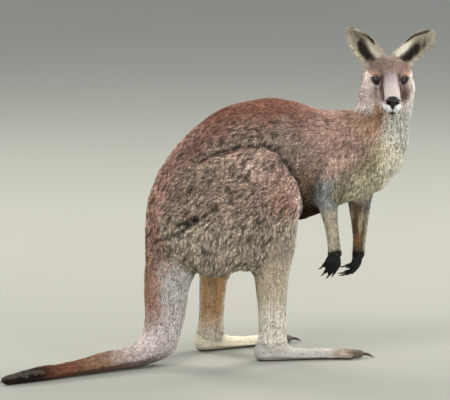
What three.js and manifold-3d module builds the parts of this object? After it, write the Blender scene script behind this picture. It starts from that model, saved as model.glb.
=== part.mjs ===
// A grey kangaroo at rest on its hind feet and tail, its head turned to look over its right side.
// Life size, in millimetres: +X is the way the body faces, +Y is its left, +Z is up, and the soles and
// the laid part of the tail are flats on Z = 0. The solids follow the outline of the coat.
import * as THREE from "three";
import { mergeVertices } from "three/addons/utils/BufferGeometryUtils.js";
import Module from "manifold-3d";

const wasm = await Module();
wasm.setup();

// ---- Driving dimensions -------------------------------------------------------------------------

const GAP = 0.4; // clearance between neighbouring pieces
const SLIVER = 0.15; // edges that matter less than this to the shape are collapsed
const HIP_YAW = THREE.MathUtils.degToRad(20); // the hips face this far to the left of +X
const HEAD_YAW = THREE.MathUtils.degToRad(-87); // the head looks over the right flank
const HEAD_PITCH = THREE.MathUtils.degToRad(3); // nose slightly down
const EYES_MIDPOINT = new THREE.Vector3(416.5, -15, 705); // halfway between the eyeballs
const EYE_RADIUS = 15;
const EYE_CENTRE = new THREE.Vector3(10.5, 26.5, 0); // left eye, in the head's frame
const EAR_LENGTH = 104;
const EAR_HALF_WIDTH = 34;
const EAR_BASE = new THREE.Vector3(-36, 38, 42); // left ear, in the head's frame
const EAR_LEAN = { right: 35, left: 48.5 }; // degrees from upright, outwards
const FOOT_LENGTH = 300; // heel to the tip of the longest claw
const CLAW_SIDES = 5;
const DIGIT_SIDES = 6;
const BODY_DOME = [18, 52]; // degrees from the pole of the rings that round off an end
const CHEST_DOME = [15, 40, 66];
const DIGIT_DOME = [40];

// ---- Finishes -----------------------------------------------------------------------------------

const finish = (color, roughness) => new THREE.MeshStandardMaterial({ color, roughness, metalness: 0 });
const FINISHES = {
  coat_back: finish(0x8a7666, 0.9),
  coat_pale: finish(0xb5a899, 0.9),
  coat_dark: finish(0x3a2c26, 0.9),
  bare_skin: finish(0x241f1f, 0.6),
  claw: finish(0x1c1a1a, 0.4),
  eye: finish(0x140e0b, 0.1),
};

// ---- Solids from lofts --------------------------------------------------------------------------

/** A closed manifold-3d solid from a geometry, its shared vertices merged. */
function solidFrom(geometry) {
  const bare = new THREE.BufferGeometry();
  bare.setAttribute("position", geometry.getAttribute("position"));
  if (geometry.index) bare.setIndex(geometry.index);
  const merged = mergeVertices(bare, 1e-4);
  return new wasm.Manifold(
    new wasm.Mesh({
      numProp: 3,
      vertProperties: merged.attributes.position.array,
      triVerts: new Uint32Array(merged.index.array),
    }),
  );
}

/**
 * A closed skin over sections of equal count, each counterclockwise when seen from the end of the run. The
 * end sections are closed by a strip zipped across them, from the first half of the points to the second.
 */
function loft(sections) {
  const sides = sections[0].length;
  const positions = sections.flatMap((section) => section.flatMap((p) => p.toArray()));
  const faces = [];
  for (let s = 0; s + 1 < sections.length; s++) {
    for (let i = 0; i < sides; i++) {
      const [a, b] = [s * sides + i, s * sides + ((i + 1) % sides)];
      faces.push(a, b, b + sides, a, b + sides, a + sides);
    }
  }
  const last = (sections.length - 1) * sides;
  for (let i = 0; i + 1 < sides / 2; i++) {
    const quad = [i, i + 1, sides - 2 - i, sides - 1 - i];
    faces.push(quad[0], quad[2], quad[1], quad[0], quad[3], quad[2]);
    faces.push(...[quad[0], quad[1], quad[2], quad[0], quad[2], quad[3]].map((v) => v + last));
  }
  // the middle quad of an even ring folds onto one edge, so triangles that use a point twice are dropped
  const kept = [];
  for (let i = 0; i < faces.length; i += 3) {
    const [a, b, c] = faces.slice(i, i + 3);
    if (a !== b && b !== c && a !== c) kept.push(a, b, c);
  }
  const geometry = new THREE.BufferGeometry();
  geometry.setAttribute("position", new THREE.Float32BufferAttribute(positions, 3));
  geometry.setIndex(kept);
  return geometry;
}

/** One superellipse ring about a centre: tall across the run, wide along left, egg widens the upper half. */
function ring(centre, forward, left, { tall, wide, egg, square }, sides) {
  const along = forward.clone().normalize();
  const side = left.clone().addScaledVector(along, -left.dot(along)).normalize();
  const up = new THREE.Vector3().crossVectors(along, side);
  const bend = (v) => Math.sign(v) * Math.abs(v) ** (2 / square);
  return Array.from({ length: sides }, (_, i) => {
    const angle = (2 * Math.PI * (i + 0.5)) / sides;
    const rise = bend(Math.sin(angle));
    const spread = bend(Math.cos(angle)) * (1 + egg * rise);
    return centre.clone().addScaledVector(side, wide * spread).addScaledVector(up, tall * rise);
  });
}

/**
 * A limb or body: a smooth run through stations [x, y, z, tall, wide, egg], closed by a dome at each end.
 * grow swells it evenly, which makes the cutter that keeps a neighbour clear.
 */
function limb(
  stations,
  { left, rings, sides, square = 2.1, domes = [10, 10], steps = BODY_DOME, place = null },
  grow = 0,
) {
  const path = new THREE.CatmullRomCurve3(stations.map(([x, y, z]) => new THREE.Vector3(x, y, z)));
  const sizes = new THREE.CatmullRomCurve3(
    stations.map(([, , , tall, wide, egg = 0]) => new THREE.Vector3(tall, wide, egg)),
    false,
    "catmullrom",
    0.5,
  );
  const angles = steps.map(THREE.MathUtils.degToRad);
  const reach = 0.07; // the run's direction is taken over this share of it, so that rings never cross
  const at = (t, shrink, shift) => {
    const [before, after] = [Math.max(t - reach, 0), Math.min(t + reach, 1)];
    const forward = path.getPoint(after).sub(path.getPoint(before)).normalize();
    const size = sizes.getPoint(t);
    const centre = path.getPoint(t).addScaledVector(forward, shift);
    const shape = { tall: (size.x + grow) * shrink, wide: (size.y + grow) * shrink, egg: size.z, square };
    return ring(centre, forward, left, shape, sides);
  };
  const sections = [
    ...angles.map((a) => at(0, Math.sin(a), -(domes[0] + grow) * Math.cos(a))),
    ...Array.from({ length: rings + 1 }, (_, i) => at(i / rings, 1, 0)),
    ...angles.toReversed().map((a) => at(1, Math.sin(a), (domes[1] + grow) * Math.cos(a))),
  ];
  const geometry = loft(sections);
  if (place) geometry.applyMatrix4(place);
  return solidFrom(geometry);
}

/** An ellipsoid with half-axes along the head's or the part's own axes. */
function ball(centre, halfAxes, place, grow = 0, segments = [8, 6]) {
  const geometry = new THREE.SphereGeometry(1, ...segments);
  geometry.rotateX(Math.PI / 2);
  geometry.scale(...halfAxes.map((r) => r + grow));
  geometry.translate(...centre);
  if (place) geometry.applyMatrix4(place);
  return solidFrom(geometry);
}

/** The largest body of a solid, which drops the slivers that a cut can leave. */
function largest(solid) {
  return solid.decompose().reduce((a, b) => (b.volume() > a.volume() ? b : a));
}

/** A part at its size, and the cutter that keeps its neighbours a GAP away from it. */
function part(make) {
  return { solid: make(0), cutter: make(GAP) };
}

/** What is left of a part after its neighbours' cutters, and anything of theirs outside those, are gone. */
function trimmed(whole, ...neighbours) {
  const rest = neighbours.reduce((s, n) => s.subtract(n.cutter), whole.solid);
  const touching = neighbours.filter((n) => !rest.intersect(n.solid).isEmpty());
  return largest(touching.reduce((s, n) => s.subtract(n.solid), rest));
}

/** Parts melted into one, with their cutters. */
function joined(...parts) {
  return {
    solid: parts.slice(1).reduce((s, p) => s.add(p.solid), parts[0].solid),
    cutter: parts.slice(1).reduce((s, p) => s.add(p.cutter), parts[0].cutter),
  };
}

const FLOOR_BOX = 2000;
const aboveFloor = (() => {
  const box = new THREE.BoxGeometry(FLOOR_BOX, FLOOR_BOX, FLOOR_BOX);
  box.translate(0, 0, FLOOR_BOX / 2);
  return solidFrom(box);
})();
const onFloor = (solid) => largest(solid.intersect(aboveFloor));

const SIDES = [
  ["left", 1],
  ["right", -1],
];
const WORLD_LEFT = new THREE.Vector3(0, 1, 0);
const DOWN = new THREE.Vector3(0, 0, -1);

// ---- Trunk and neck -----------------------------------------------------------------------------

const BODY_LEFT = new THREE.Vector3(-Math.sin(HIP_YAW / 2), Math.cos(HIP_YAW / 2), 0);

// From the root of the tail, up over the rump and the arched back, and forward to the chest.
const TRUNK = [
  [-128, -48, 235, 64, 52],
  [-112, -41, 320, 87, 76],
  [-80, -30, 395, 107, 98],
  [-30, -12, 455, 122, 110],
  [48, 10, 492, 147, 116],
  [125, 28, 500, 152, 118, -0.04],
  [200, 37, 490, 150, 112, -0.04],
  [268, 40, 498, 124, 98],
  [335, 38, 506, 110, 88],
  [392, 32, 515, 95, 78],
];
// From inside the chest up to the occiput.
const NECK = [
  [352, 33, 512, 95, 76],
  [381, 32, 560, 85, 70],
  [402, 34, 605, 72, 62],
  [409, 38, 650, 69, 54],
  [407, 42, 688, 61, 44],
  [404, 40, 716, 51, 36],
];

const trunk = part((grow) =>
  limb(TRUNK, { left: BODY_LEFT, rings: 15, sides: 18, domes: [20, 64], steps: CHEST_DOME }, grow),
);
const neck = part((grow) =>
  limb(NECK, { left: BODY_LEFT, rings: 8, sides: 14, domes: [30, 20] }, grow),
);

// ---- Head ---------------------------------------------------------------------------------------

// The head's own frame: +X to the nose, +Y to its left ear, +Z up, origin halfway between the eyes.
const headPlace = new THREE.Matrix4().compose(
  EYES_MIDPOINT,
  new THREE.Quaternion().setFromEuler(new THREE.Euler(0, HEAD_PITCH, HEAD_YAW, "ZYX")),
  new THREE.Vector3(1, 1, 1),
);

// Down the middle of the head from the occiput to the muzzle.
const SKULL = [
  [-58, 0, 2, 40, 42],
  [-42, 0, 1, 54, 54],
  [-20, 0, -5, 61, 54, -0.04],
  [0, 0, -12, 61, 46, -0.08],
  [14, 0, -19, 57, 37, -0.1],
  [28, 0, -25, 52, 29, -0.1],
  [48, 0, -32, 43, 27.5, -0.1],
  [70, 0, -39, 35, 26, -0.08],
  [90, 0, -45, 27, 24, -0.06],
];

/** A pair of ellipsoids, one each side of the face. */
function pairOfBalls([x, y, z], halfAxes, grow, segments) {
  const [one, other] = [y, -y].map((v) => ball([x, v, z], halfAxes, headPlace, grow, segments));
  return one.add(other);
}

const skull = part((grow) =>
  limb(SKULL, { left: WORLD_LEFT, rings: 12, sides: 16, domes: [18, 16], place: headPlace }, grow),
);
const cheeks = part((grow) => pairOfBalls([-36, 22, -30], [42, 40, 43], grow, [10, 8]));
const brows = part((grow) => pairOfBalls([10, 24, 16], [19, 15.5, 8.5], grow));
const lips = part((grow) => pairOfBalls([84, 12, -54], [22, 14, 15], grow));
const chin = part((grow) => ball([74, 0, -66], [26, 15, 11], headPlace, grow));
const face = joined(skull, cheeks, brows, lips, chin);

const nose = part((grow) =>
  ball([100, 0, -38], [11, 18, 12], headPlace, grow).add(
    ball([103, 0, -48], [7, 6, 10], headPlace, grow),
  ),
);
const eyes = SIDES.map(([, s]) =>
  part((grow) =>
    ball(
      [EYE_CENTRE.x, s * EYE_CENTRE.y, EYE_CENTRE.z],
      [EYE_RADIUS, EYE_RADIUS, EYE_RADIUS],
      headPlace,
      grow,
      [10, 8],
    ),
  ),
);

/**
 * An ear: crescent sections from a rolled base to a blunt tip. Across a section v runs from -1 to 1, the
 * inner face lies cup * (1 - v * v) behind the rim, and the outer face a wall's thickness behind that.
 */
function ear(side, grow = 0) {
  const STATIONS = [
    // share of length, half-width, cup depth, wall
    [-0.1, 0.92, 24, 12],
    [0.06, 1.02, 28, 8],
    [0.22, 1.05, 27, 6],
    [0.42, 1.03, 22, 5],
    [0.6, 0.96, 15, 4.5],
    [0.78, 0.76, 10, 4],
    [0.92, 0.45, 5, 3.5],
    [1, 0.14, 1.5, 3],
  ];
  const ACROSS = 7;
  const lean = THREE.MathUtils.degToRad(EAR_LEAN[side > 0 ? "left" : "right"]);
  const up = new THREE.Vector3(-0.08, side * Math.sin(lean), Math.cos(lean)).normalize();
  const back = new THREE.Vector3(-0.93, side * -0.36, 0);
  back.addScaledVector(up, -back.dot(up)).normalize();
  const across = new THREE.Vector3().crossVectors(up, back);
  const base = new THREE.Vector3(EAR_BASE.x, side * EAR_BASE.y, EAR_BASE.z);
  const sections = STATIONS.map(([share, width, cup, wall]) => {
    const centre = base.clone().addScaledVector(up, share * EAR_LENGTH);
    const point = (v, depth) =>
      centre
        .clone()
        .addScaledVector(across, v * (EAR_HALF_WIDTH * width + grow))
        .addScaledVector(back, depth);
    const vs = Array.from({ length: ACROSS }, (_, i) => -1 + (2 * i) / (ACROSS - 1));
    const inner = vs.map((v) => point(v, cup * (1 - v * v) - grow));
    const outer = vs.toReversed().map((v) => point(v * 0.97, (cup + wall) * (1 - v * v) + 2 + grow));
    return [...inner.toReversed(), ...outer.toReversed()];
  });
  const geometry = loft(sections);
  geometry.applyMatrix4(headPlace);
  return solidFrom(geometry);
}

// ---- Tail ---------------------------------------------------------------------------------------

// Down from the rump, a bend where it meets the ground, then laid out behind and to the right.
const TAIL = [
  [-102, -40, 335, 78, 66],
  [-117, -47, 270, 72, 62],
  [-130, -56, 215, 62, 56],
  [-138, -66, 170, 56, 52],
  [-141, -78, 128, 52, 49],
  [-148, -91, 88, 48, 46],
  [-166, -108, 55, 43, 42],
  [-200, -136, 36.5, 38, 37],
  [-245, -173, 29.5, 31.5, 31.5],
  [-300, -216, 24, 26, 26],
  [-358, -262, 20, 21.5, 21.5],
  [-416, -306, 15.5, 17, 17],
  [-470, -346, 12, 13.5, 13.5],
  [-513, -377, 9.5, 10.5, 10.5],
];
const TAIL_LEFT = new THREE.Vector3(-Math.sin(HIP_YAW), Math.cos(HIP_YAW), 0);
const tail = part((grow) =>
  limb(TAIL, { left: TAIL_LEFT, rings: 18, sides: 12, domes: [10, 24] }, grow),
);

// Where the tail is parted into lengths: a point and the direction of the cut's far side.
const TAIL_CUTS = {
  base: { point: new THREE.Vector3(-150, -84, 112), forward: new THREE.Vector3(-0.3, -0.4, -0.86) },
  tip: { point: new THREE.Vector3(-335, -240, 20), forward: new THREE.Vector3(-0.8, -0.6, 0) },
};

/** Cuts a solid in two at a plane through point, keeping a GAP between: returns [before, after]. */
function cutAt(solid, { point, forward }) {
  const normal = forward.clone().normalize();
  const offset = normal.dot(point);
  const before = solid.trimByPlane([-normal.x, -normal.y, -normal.z], -(offset - GAP / 2));
  const after = solid.trimByPlane([normal.x, normal.y, normal.z], offset + GAP / 2);
  return [largest(before), largest(after)];
}

// ---- Hind legs ----------------------------------------------------------------------------------

// The right leg stands forward, the left one a step behind it, turned out.
const LEGS = {
  right: {
    thigh: [
      [-142, -100, 340, 76, 34],
      [-90, -96, 352, 128, 50],
      [-30, -88, 364, 161, 58],
      [30, -78, 385, 164, 62],
      [85, -68, 396, 155, 61],
      [130, -59, 392, 141, 56, -0.06],
      [162, -54, 384, 119, 50, -0.1],
    ],
    thighDomes: [18, 38],
    shank: [
      [138, -56, 345, 62, 42],
      [130, -55, 310, 57, 42],
      [127, -53, 270, 52, 40],
      [124, -51, 222, 45, 36],
      [124, -50, 170, 39, 30],
      [125, -50, 122, 35.5, 26],
      [126, -50, 84, 34, 24.5],
      [127, -50, 50, 36, 25],
    ],
    heel: [96, -57],
    yaw: 10,
    outwards: -1,
  },
  left: {
    thigh: [
      [-128, 14, 430, 76, 40],
      [-95, 34, 396, 114, 56],
      [-54, 54, 356, 126, 62],
      [-22, 70, 312, 108, 60],
      [-6, 80, 268, 78, 52],
      [-14, 87, 228, 50, 42],
    ],
    thighDomes: [16, 14],
    shank: [
      [-10, 87, 258, 52, 40],
      [-18, 90, 212, 41, 35],
      [-23, 90, 168, 35, 30],
      [-25, 90, 122, 33, 26],
      [-28, 90, 84, 32, 24.5],
      [-29, 90, 50, 34, 25],
    ],
    heel: [-53, 83],
    yaw: 28,
    outwards: 1,
  },
};

// Along the foot from the heel: distance, height of centre, half-height, half-width.
const SOLE = [
  [0, 20, 22, 20],
  [28, 24, 26, 23],
  [62, 17.5, 19.5, 21],
  [100, 13.6, 15.4, 19.5],
  [155, 12.8, 14.6, 21],
  [192, 12.2, 14, 23],
  [214, 11.5, 13.2, 20],
];
// Each toe: start and end along the foot, side offsets outwards, radii, then the length and radius of its
// claws and how far each sits from the toe's middle. Toes 2 and 3 share one skin, as in every kangaroo.
const TOES = [
  { names: ["toe_4"], from: 196, to: 256, start: 0, end: 2, thick: [14, 10.5], claw: [34, 5.4], sit: [0] },
  { names: ["toe_5"], from: 168, to: 228, start: 10, end: 24, thick: [10.5, 8], claw: [22, 4.2], sit: [0] },
  {
    names: ["toe_2", "toe_3"],
    from: 178,
    to: 212,
    start: -14,
    end: -21,
    thick: [9, 7],
    claw: [12, 2.5],
    sit: [-3.8, 3.8],
  },
];

/** A claw: a short horn that thins along a gentle curve from root, first along forward, then down. */
function claw(root, forward, down, length, radius, place) {
  const SHARES = [-0.25, 0, 0.4, 0.75, 1];
  const stations = SHARES.map((s) => {
    const p = root
      .clone()
      .addScaledVector(forward, length * s)
      .addScaledVector(down, length * 0.28 * Math.max(s, 0) ** 2);
    const thick = radius * (1 - 0.82 * Math.max(s, 0) ** 1.3);
    return [p.x, p.y, p.z, thick, thick * 0.8];
  });
  const left = new THREE.Vector3().crossVectors(forward, down);
  return (grow) =>
    limb(
      stations,
      { left, rings: 2, sides: CLAW_SIDES, square: 2, steps: [], place },
      grow,
    );
}

/** The foot, its toes and their claws, in the part's frame. */
function footParts({ heel, yaw, outwards }) {
  const turn = THREE.MathUtils.degToRad(yaw);
  const place = new THREE.Matrix4().makeRotationZ(turn).setPosition(heel[0], heel[1], 0);
  const left = WORLD_LEFT;
  const foot = part((grow) =>
    limb(
      SOLE.map(([d, z, tall, wide]) => [d, 0, z, tall, wide]),
      { left, rings: 7, sides: 10, square: 2.4, domes: [18, 8], place },
      grow,
    ),
  );
  const toes = TOES.map(({ names, from, to, start, end, thick, claw: [length, radius], sit }) => {
    const [root, tip] = thick;
    const y = (v) => outwards * v;
    const toe = part((grow) =>
      limb(
        [
          [from, y(start), root - 1.5, root, root],
          [(from + to) / 2, y((start + end) / 2), tip + 2, (root + tip) / 2, (root + tip) / 2],
          [to, y(end), tip - 1, tip, tip],
        ],
        { left, rings: 2, sides: DIGIT_SIDES, domes: [2, tip * 0.7], steps: DIGIT_DOME, place },
        grow,
      ),
    );
    const forward = new THREE.Vector3(to - from, y(end - start), 0).normalize();
    const claws = sit.map((offset) => {
      const root3 = new THREE.Vector3(to, y(end + offset), tip * 0.95).addScaledVector(forward, tip * 0.35);
      return part(claw(root3, forward, DOWN, length, radius, place));
    });
    return { names, toe, claws };
  });
  return { foot, toes };
}

// ---- Arms and hands -----------------------------------------------------------------------------

const ARMS = {
  right: {
    stations: [
      [300, -18, 520, 52, 34],
      [276, -34, 474, 45, 36],
      [258, -46, 428, 36, 31],
      [263, -51, 386, 23.5, 24],
      [270, -55, 344, 17, 18],
      [276, -58, 302, 15, 15],
      [280, -59, 270, 17.5, 15],
    ],
    fingers: new THREE.Vector3(-0.2, -0.05, -0.98),
    thumb: new THREE.Vector3(0.9, 0.35, -0.2),
    chirality: 1,
    curl: 0.42,
  },
  left: {
    stations: [
      [345, 52, 505, 44, 32],
      [346, 68, 458, 42, 33],
      [344, 79, 412, 36, 30],
      [344, 84, 366, 27, 25],
      [345, 86, 322, 21, 19],
      [344, 86, 284, 15.5, 15],
      [342, 85, 244, 15, 15],
    ],
    fingers: new THREE.Vector3(-0.16, -0.05, -0.98),
    thumb: new THREE.Vector3(-0.42, -0.9, 0.1),
    chirality: -1,
    curl: 0.8,
  },
};
const ELBOW = 2; // the station at the elbow
const BELOW_ELBOW = new THREE.Vector3(0, 0, -18);
const PALM_LENGTH = 34;
// Each finger: place across the palm towards the thumb, where it starts along it, splay in degrees, length.
const FINGERS = [
  { name: "finger_1", across: 15.5, along: 13, splay: 20, length: 21 },
  { name: "finger_2", across: 11, along: 26, splay: 8, length: 25 },
  { name: "finger_3", across: 2, along: 30, splay: 1, length: 27 },
  { name: "finger_4", across: -8, along: 27, splay: -7, length: 25 },
  { name: "finger_5", across: -14.5, along: 16, splay: -16, length: 21 },
];
const FINGER_THICK = [6.6, 5.2];
const FINGER_CLAW = [21, 3.2];

/** The hand, made in its own frame: +X along the palm, +Y to the thumb, +Z out of the back. */
function handParts({ stations, fingers, thumb, chirality, curl }) {
  const wrist = new THREE.Vector3(...stations.at(-1));
  const x = fingers.clone().normalize();
  const y = thumb.clone().addScaledVector(x, -thumb.dot(x)).normalize();
  const z = new THREE.Vector3().crossVectors(x, y);
  const place = new THREE.Matrix4().makeBasis(x, y, z).setPosition(wrist);
  const left = WORLD_LEFT;
  const palm = part((grow) =>
    limb(
      [
        [0, 0, 0, 13, 16],
        [PALM_LENGTH * 0.5, 0, 0, 12, 20],
        [PALM_LENGTH * 0.9, 0, chirality * -1.5, 9, 19],
      ],
      { left, rings: 2, sides: 10, domes: [4, 7], steps: DIGIT_DOME, place },
      grow,
    ),
  );
  const digits = FINGERS.map(({ name, across, along, splay, length }) => {
    const turn = THREE.MathUtils.degToRad(splay);
    const out = new THREE.Vector3(Math.cos(turn), Math.sin(turn), 0);
    const palmwards = new THREE.Vector3(0, 0, -chirality);
    const [root, tip] = FINGER_THICK;
    const at = (share, sink) =>
      new THREE.Vector3(along, across, 0)
        .addScaledVector(out, length * share)
        .addScaledVector(palmwards, length * sink);
    const spots = [at(-0.15, 0), at(0.5, 0.25 * curl), at(0.95 - 0.2 * curl, curl)];
    const thick = [root, (root + tip) / 2, tip];
    const finger = part((grow) =>
      limb(
        spots.map((p, i) => [p.x, p.y, p.z, thick[i], thick[i]]),
        { left, rings: 2, sides: CLAW_SIDES, domes: [1, 3.5], steps: DIGIT_DOME, place },
        grow,
      ),
    );
    const forward = out.clone().addScaledVector(palmwards, 1.8 * curl).normalize();
    const bend = palmwards.clone().addScaledVector(forward, -palmwards.dot(forward)).normalize();
    const root3 = spots[2].clone().addScaledVector(forward, 2.5);
    return { name, finger, claw: part(claw(root3, forward, bend, ...FINGER_CLAW, place)) };
  });
  return { palm, digits };
}

// ---- Assembly -----------------------------------------------------------------------------------

const model = new THREE.Group();

/** Adds one solid to the model as a named mesh. */
function addNode(name, solid, finishName) {
  const mesh = solid.simplify(SLIVER).getMesh();
  const geometry = new THREE.BufferGeometry();
  geometry.setAttribute("position", new THREE.BufferAttribute(mesh.vertProperties, mesh.numProp));
  geometry.setIndex(new THREE.BufferAttribute(mesh.triVerts, 1));
  geometry.computeVertexNormals();
  const node = new THREE.Mesh(geometry, FINISHES[finishName]);
  node.name = name;
  model.add(node);
}

addNode("trunk", trunk.solid, "coat_back");
addNode("neck", trimmed(neck, trunk, face), "coat_back");

const ears = SIDES.map(([, s]) => part((grow) => ear(s, grow)));
const headNeighbours = [nose, ...eyes];
addNode("head", trimmed(face, ...headNeighbours), "coat_back");
addNode("nose", nose.solid, "bare_skin");
SIDES.forEach(([side], i) => {
  addNode(`eye_${side}`, eyes[i].solid, "eye");
  addNode(`ear_${side}`, trimmed(ears[i], face, neck), "coat_back");
});

const thighs = {};
for (const [side] of SIDES) {
  const { thigh, thighDomes: domes } = LEGS[side];
  thighs[side] = part((grow) => limb(thigh, { left: BODY_LEFT, rings: 10, sides: 16, domes }, grow));
  addNode(`thigh_${side}`, trimmed(thighs[side], trunk), "coat_back");
}

for (const [side] of SIDES) {
  const leg = LEGS[side];
  const { foot, toes } = footParts(leg);
  const shank = part((grow) =>
    limb(leg.shank, { left: WORLD_LEFT, rings: 8, sides: 12, domes: [20, 22] }, grow),
  );
  addNode(`shank_${side}`, onFloor(trimmed(shank, thighs[side], trunk, foot)), "coat_pale");
  const withToes = joined(foot, ...toes.map((t) => t.toe));
  addNode(`foot_${side}`, onFloor(trimmed(withToes, ...toes.flatMap((t) => t.claws))), "coat_pale");
  for (const { names, claws } of toes) {
    names.forEach((name, i) => addNode(`${name}_claw_${side}`, onFloor(claws[i].solid), "claw"));
  }
}

const wholeTail = trimmed(tail, trunk, thighs.left, thighs.right);
const [tailBase, tailRest] = cutAt(wholeTail, TAIL_CUTS.base);
const [tailMiddle, tailTip] = cutAt(tailRest, TAIL_CUTS.tip);
addNode("tail_base", tailBase, "coat_back");
addNode("tail_middle", onFloor(tailMiddle), "coat_pale");
addNode("tail_tip", onFloor(tailTip), "coat_dark");

for (const [side] of SIDES) {
  const arm = ARMS[side];
  const { palm, digits } = handParts(arm);
  const whole = part((grow) =>
    limb(arm.stations, { left: WORLD_LEFT, rings: 10, sides: 10, domes: [16, 6] }, grow),
  );
  const elbow = new THREE.Vector3(...arm.stations[ELBOW]).add(BELOW_ELBOW);
  const [upper, fore] = cutAt(trimmed(whole, trunk, palm), { point: elbow, forward: DOWN });
  addNode(`upper_arm_${side}`, upper, "coat_back");
  addNode(`forearm_${side}`, fore, "coat_pale");
  const withFingers = joined(palm, ...digits.map((d) => d.finger));
  addNode(`hand_${side}`, trimmed(withFingers, ...digits.map((d) => d.claw)), "bare_skin");
  for (const { name, claw: nail } of digits) addNode(`${name}_claw_${side}`, nail.solid, "claw");
}

// The origin is under the middle of the whole model, on the floor.
const bounds = new THREE.Box3().setFromObject(model);
const middle = bounds.getCenter(new THREE.Vector3());
model.position.set(-middle.x, -middle.y, -bounds.min.z);

const kangaroo = new THREE.Group();
kangaroo.add(model);

export default kangaroo;
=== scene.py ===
"""Looks of a life-size grey kangaroo figure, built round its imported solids.

Everything is in metres in the frame of the solids: +X is where the body faces, +Y is its left
and +Z is up. One skin stands for all the flesh solids. Short solid tufts of hair lie over it.
The eyes, the nose leather and the claws are pieces of their own.
"""

import logging
import math
from collections.abc import Callable, Iterable
from dataclasses import dataclass, field, fields
from enum import Enum
from typing import ClassVar

import bmesh
import bpy
import numpy as np
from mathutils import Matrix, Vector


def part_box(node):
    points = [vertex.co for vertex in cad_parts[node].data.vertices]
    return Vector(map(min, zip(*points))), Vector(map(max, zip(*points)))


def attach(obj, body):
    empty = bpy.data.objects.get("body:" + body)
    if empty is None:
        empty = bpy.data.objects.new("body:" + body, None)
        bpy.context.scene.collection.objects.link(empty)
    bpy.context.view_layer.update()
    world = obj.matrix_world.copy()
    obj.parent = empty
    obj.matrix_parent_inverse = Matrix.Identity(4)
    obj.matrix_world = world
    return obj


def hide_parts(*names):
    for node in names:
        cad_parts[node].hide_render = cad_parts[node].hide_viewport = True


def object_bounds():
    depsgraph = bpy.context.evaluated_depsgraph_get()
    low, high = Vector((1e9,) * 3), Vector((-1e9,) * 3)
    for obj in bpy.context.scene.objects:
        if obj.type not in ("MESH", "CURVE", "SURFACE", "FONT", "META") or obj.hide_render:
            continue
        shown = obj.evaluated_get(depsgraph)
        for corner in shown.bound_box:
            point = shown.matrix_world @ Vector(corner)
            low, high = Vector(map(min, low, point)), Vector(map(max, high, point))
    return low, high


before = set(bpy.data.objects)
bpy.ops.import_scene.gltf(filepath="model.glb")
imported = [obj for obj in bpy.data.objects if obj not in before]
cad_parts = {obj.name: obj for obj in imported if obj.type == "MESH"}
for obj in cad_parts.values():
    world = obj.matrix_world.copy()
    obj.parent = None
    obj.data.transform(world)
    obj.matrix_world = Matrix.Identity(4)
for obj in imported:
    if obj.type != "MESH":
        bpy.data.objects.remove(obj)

import openvdb
from mathutils import Vector

LOG = logging.getLogger("kangaroo")
MM = 0.001
Array = np.ndarray
Point = tuple[float, float, float]
Surface = tuple[Array, Array]  # corner positions, and rows of corner numbers
CAD_BOX = [[float(c) for c in corner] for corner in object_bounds()]
LATTICE_CORNER = np.array(CAD_BOX[0]) - 0.03  # where the body's lattices start, clear of the solids
DOWN_BACK = (-0.86, 0.0, -0.5)  # the way the loose coat of rump and thigh is drawn out


# ---------------------------------------------------------------- small tools


def linear(code: str) -> Array:
    """Turns an sRGB hex colour into linear red, green and blue.

    Args:
        code: The colour as "#rrggbb".

    Returns:
        Three linear values from 0 to 1.
    """
    raw = np.array([int(code[i : i + 2], 16) / 255 for i in (1, 3, 5)])
    return np.where(raw <= 0.04045, raw / 12.92, ((raw + 0.055) / 1.055) ** 2.4)


def unit(vectors: Array) -> Array:
    """Scales each vector to length one."""
    length = np.linalg.norm(vectors, axis=-1, keepdims=True)
    return vectors / np.maximum(length, 1e-9)


def ramp(low: float, high: float, value: Array) -> Array:
    """Rises smoothly from 0 at low to 1 at high, as 3t^2 - 2t^3 (high may lie under low)."""
    t = np.clip((value - low) / (high - low), 0, 1)
    return t * t * (3 - 2 * t)


def bell(centre: float, width: float, value: Array) -> Array:
    """A soft hump, exp(-((value - centre) / width)^2)."""
    return np.exp(-(((value - centre) / width) ** 2))


def mixed(under: Array, over: Array, share: Array) -> Array:
    """Mixes colours: under where share is 0, over where it is 1."""
    share = np.asarray(share)[..., None]
    return under * (1 - share) + over * share


def hashed(cells: Array, seed: int) -> Array:
    """A repeatable random value from -1 to 1 for each whole-number cell.

    Args:
        cells: Whole-number cell coordinates, one row each.
        seed: Picks another set of values.

    Returns:
        One value for each cell.
    """
    mask = np.int64(0xFFFFFFFF)
    mixed_up = (cells[:, 0] * 73856093) ^ (cells[:, 1] * 19349663) ^ (cells[:, 2] * 83492791)
    mixed_up = (mixed_up + seed * 7919) & mask
    mixed_up = ((mixed_up ^ (mixed_up >> 16)) * 73244475) & mask
    mixed_up = ((mixed_up ^ (mixed_up >> 16)) * 73244475) & mask
    mixed_up = mixed_up ^ (mixed_up >> 16)
    return mixed_up / 2147483648.0 - 1.0


def noise(points: Array, cell: float, seed: int) -> Array:
    """Soft random hills: values at the corners of a cubic lattice, blended by 3t^2 - 2t^3.

    Args:
        points: Where to read it.
        cell: The size of one hill, in metres.
        seed: Picks another pattern.

    Returns:
        A value from -1 to 1 for each point.
    """
    scaled = points / cell
    base = np.floor(scaled).astype(np.int64)
    t = scaled - base
    t = t * t * (3 - 2 * t)
    total = np.zeros(len(points))
    for corner in range(8):
        step = np.array([corner & 1, (corner >> 1) & 1, (corner >> 2) & 1])
        total += np.prod(np.where(step, t, 1 - t), axis=1) * hashed(base + step, seed)
    return total


def stretched(points: Array, along: Point, ratio: float) -> Array:
    """Squeezes space along a direction, so that noise read there is drawn out along it.

    Args:
        points: The points.
        along: The direction of the streaks.
        ratio: How many times longer than wide a streak is.

    Returns:
        The moved points.
    """
    axis = unit(np.array(along, float))
    return points - np.outer(points @ axis, axis) * (1 - 1 / ratio)


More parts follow.
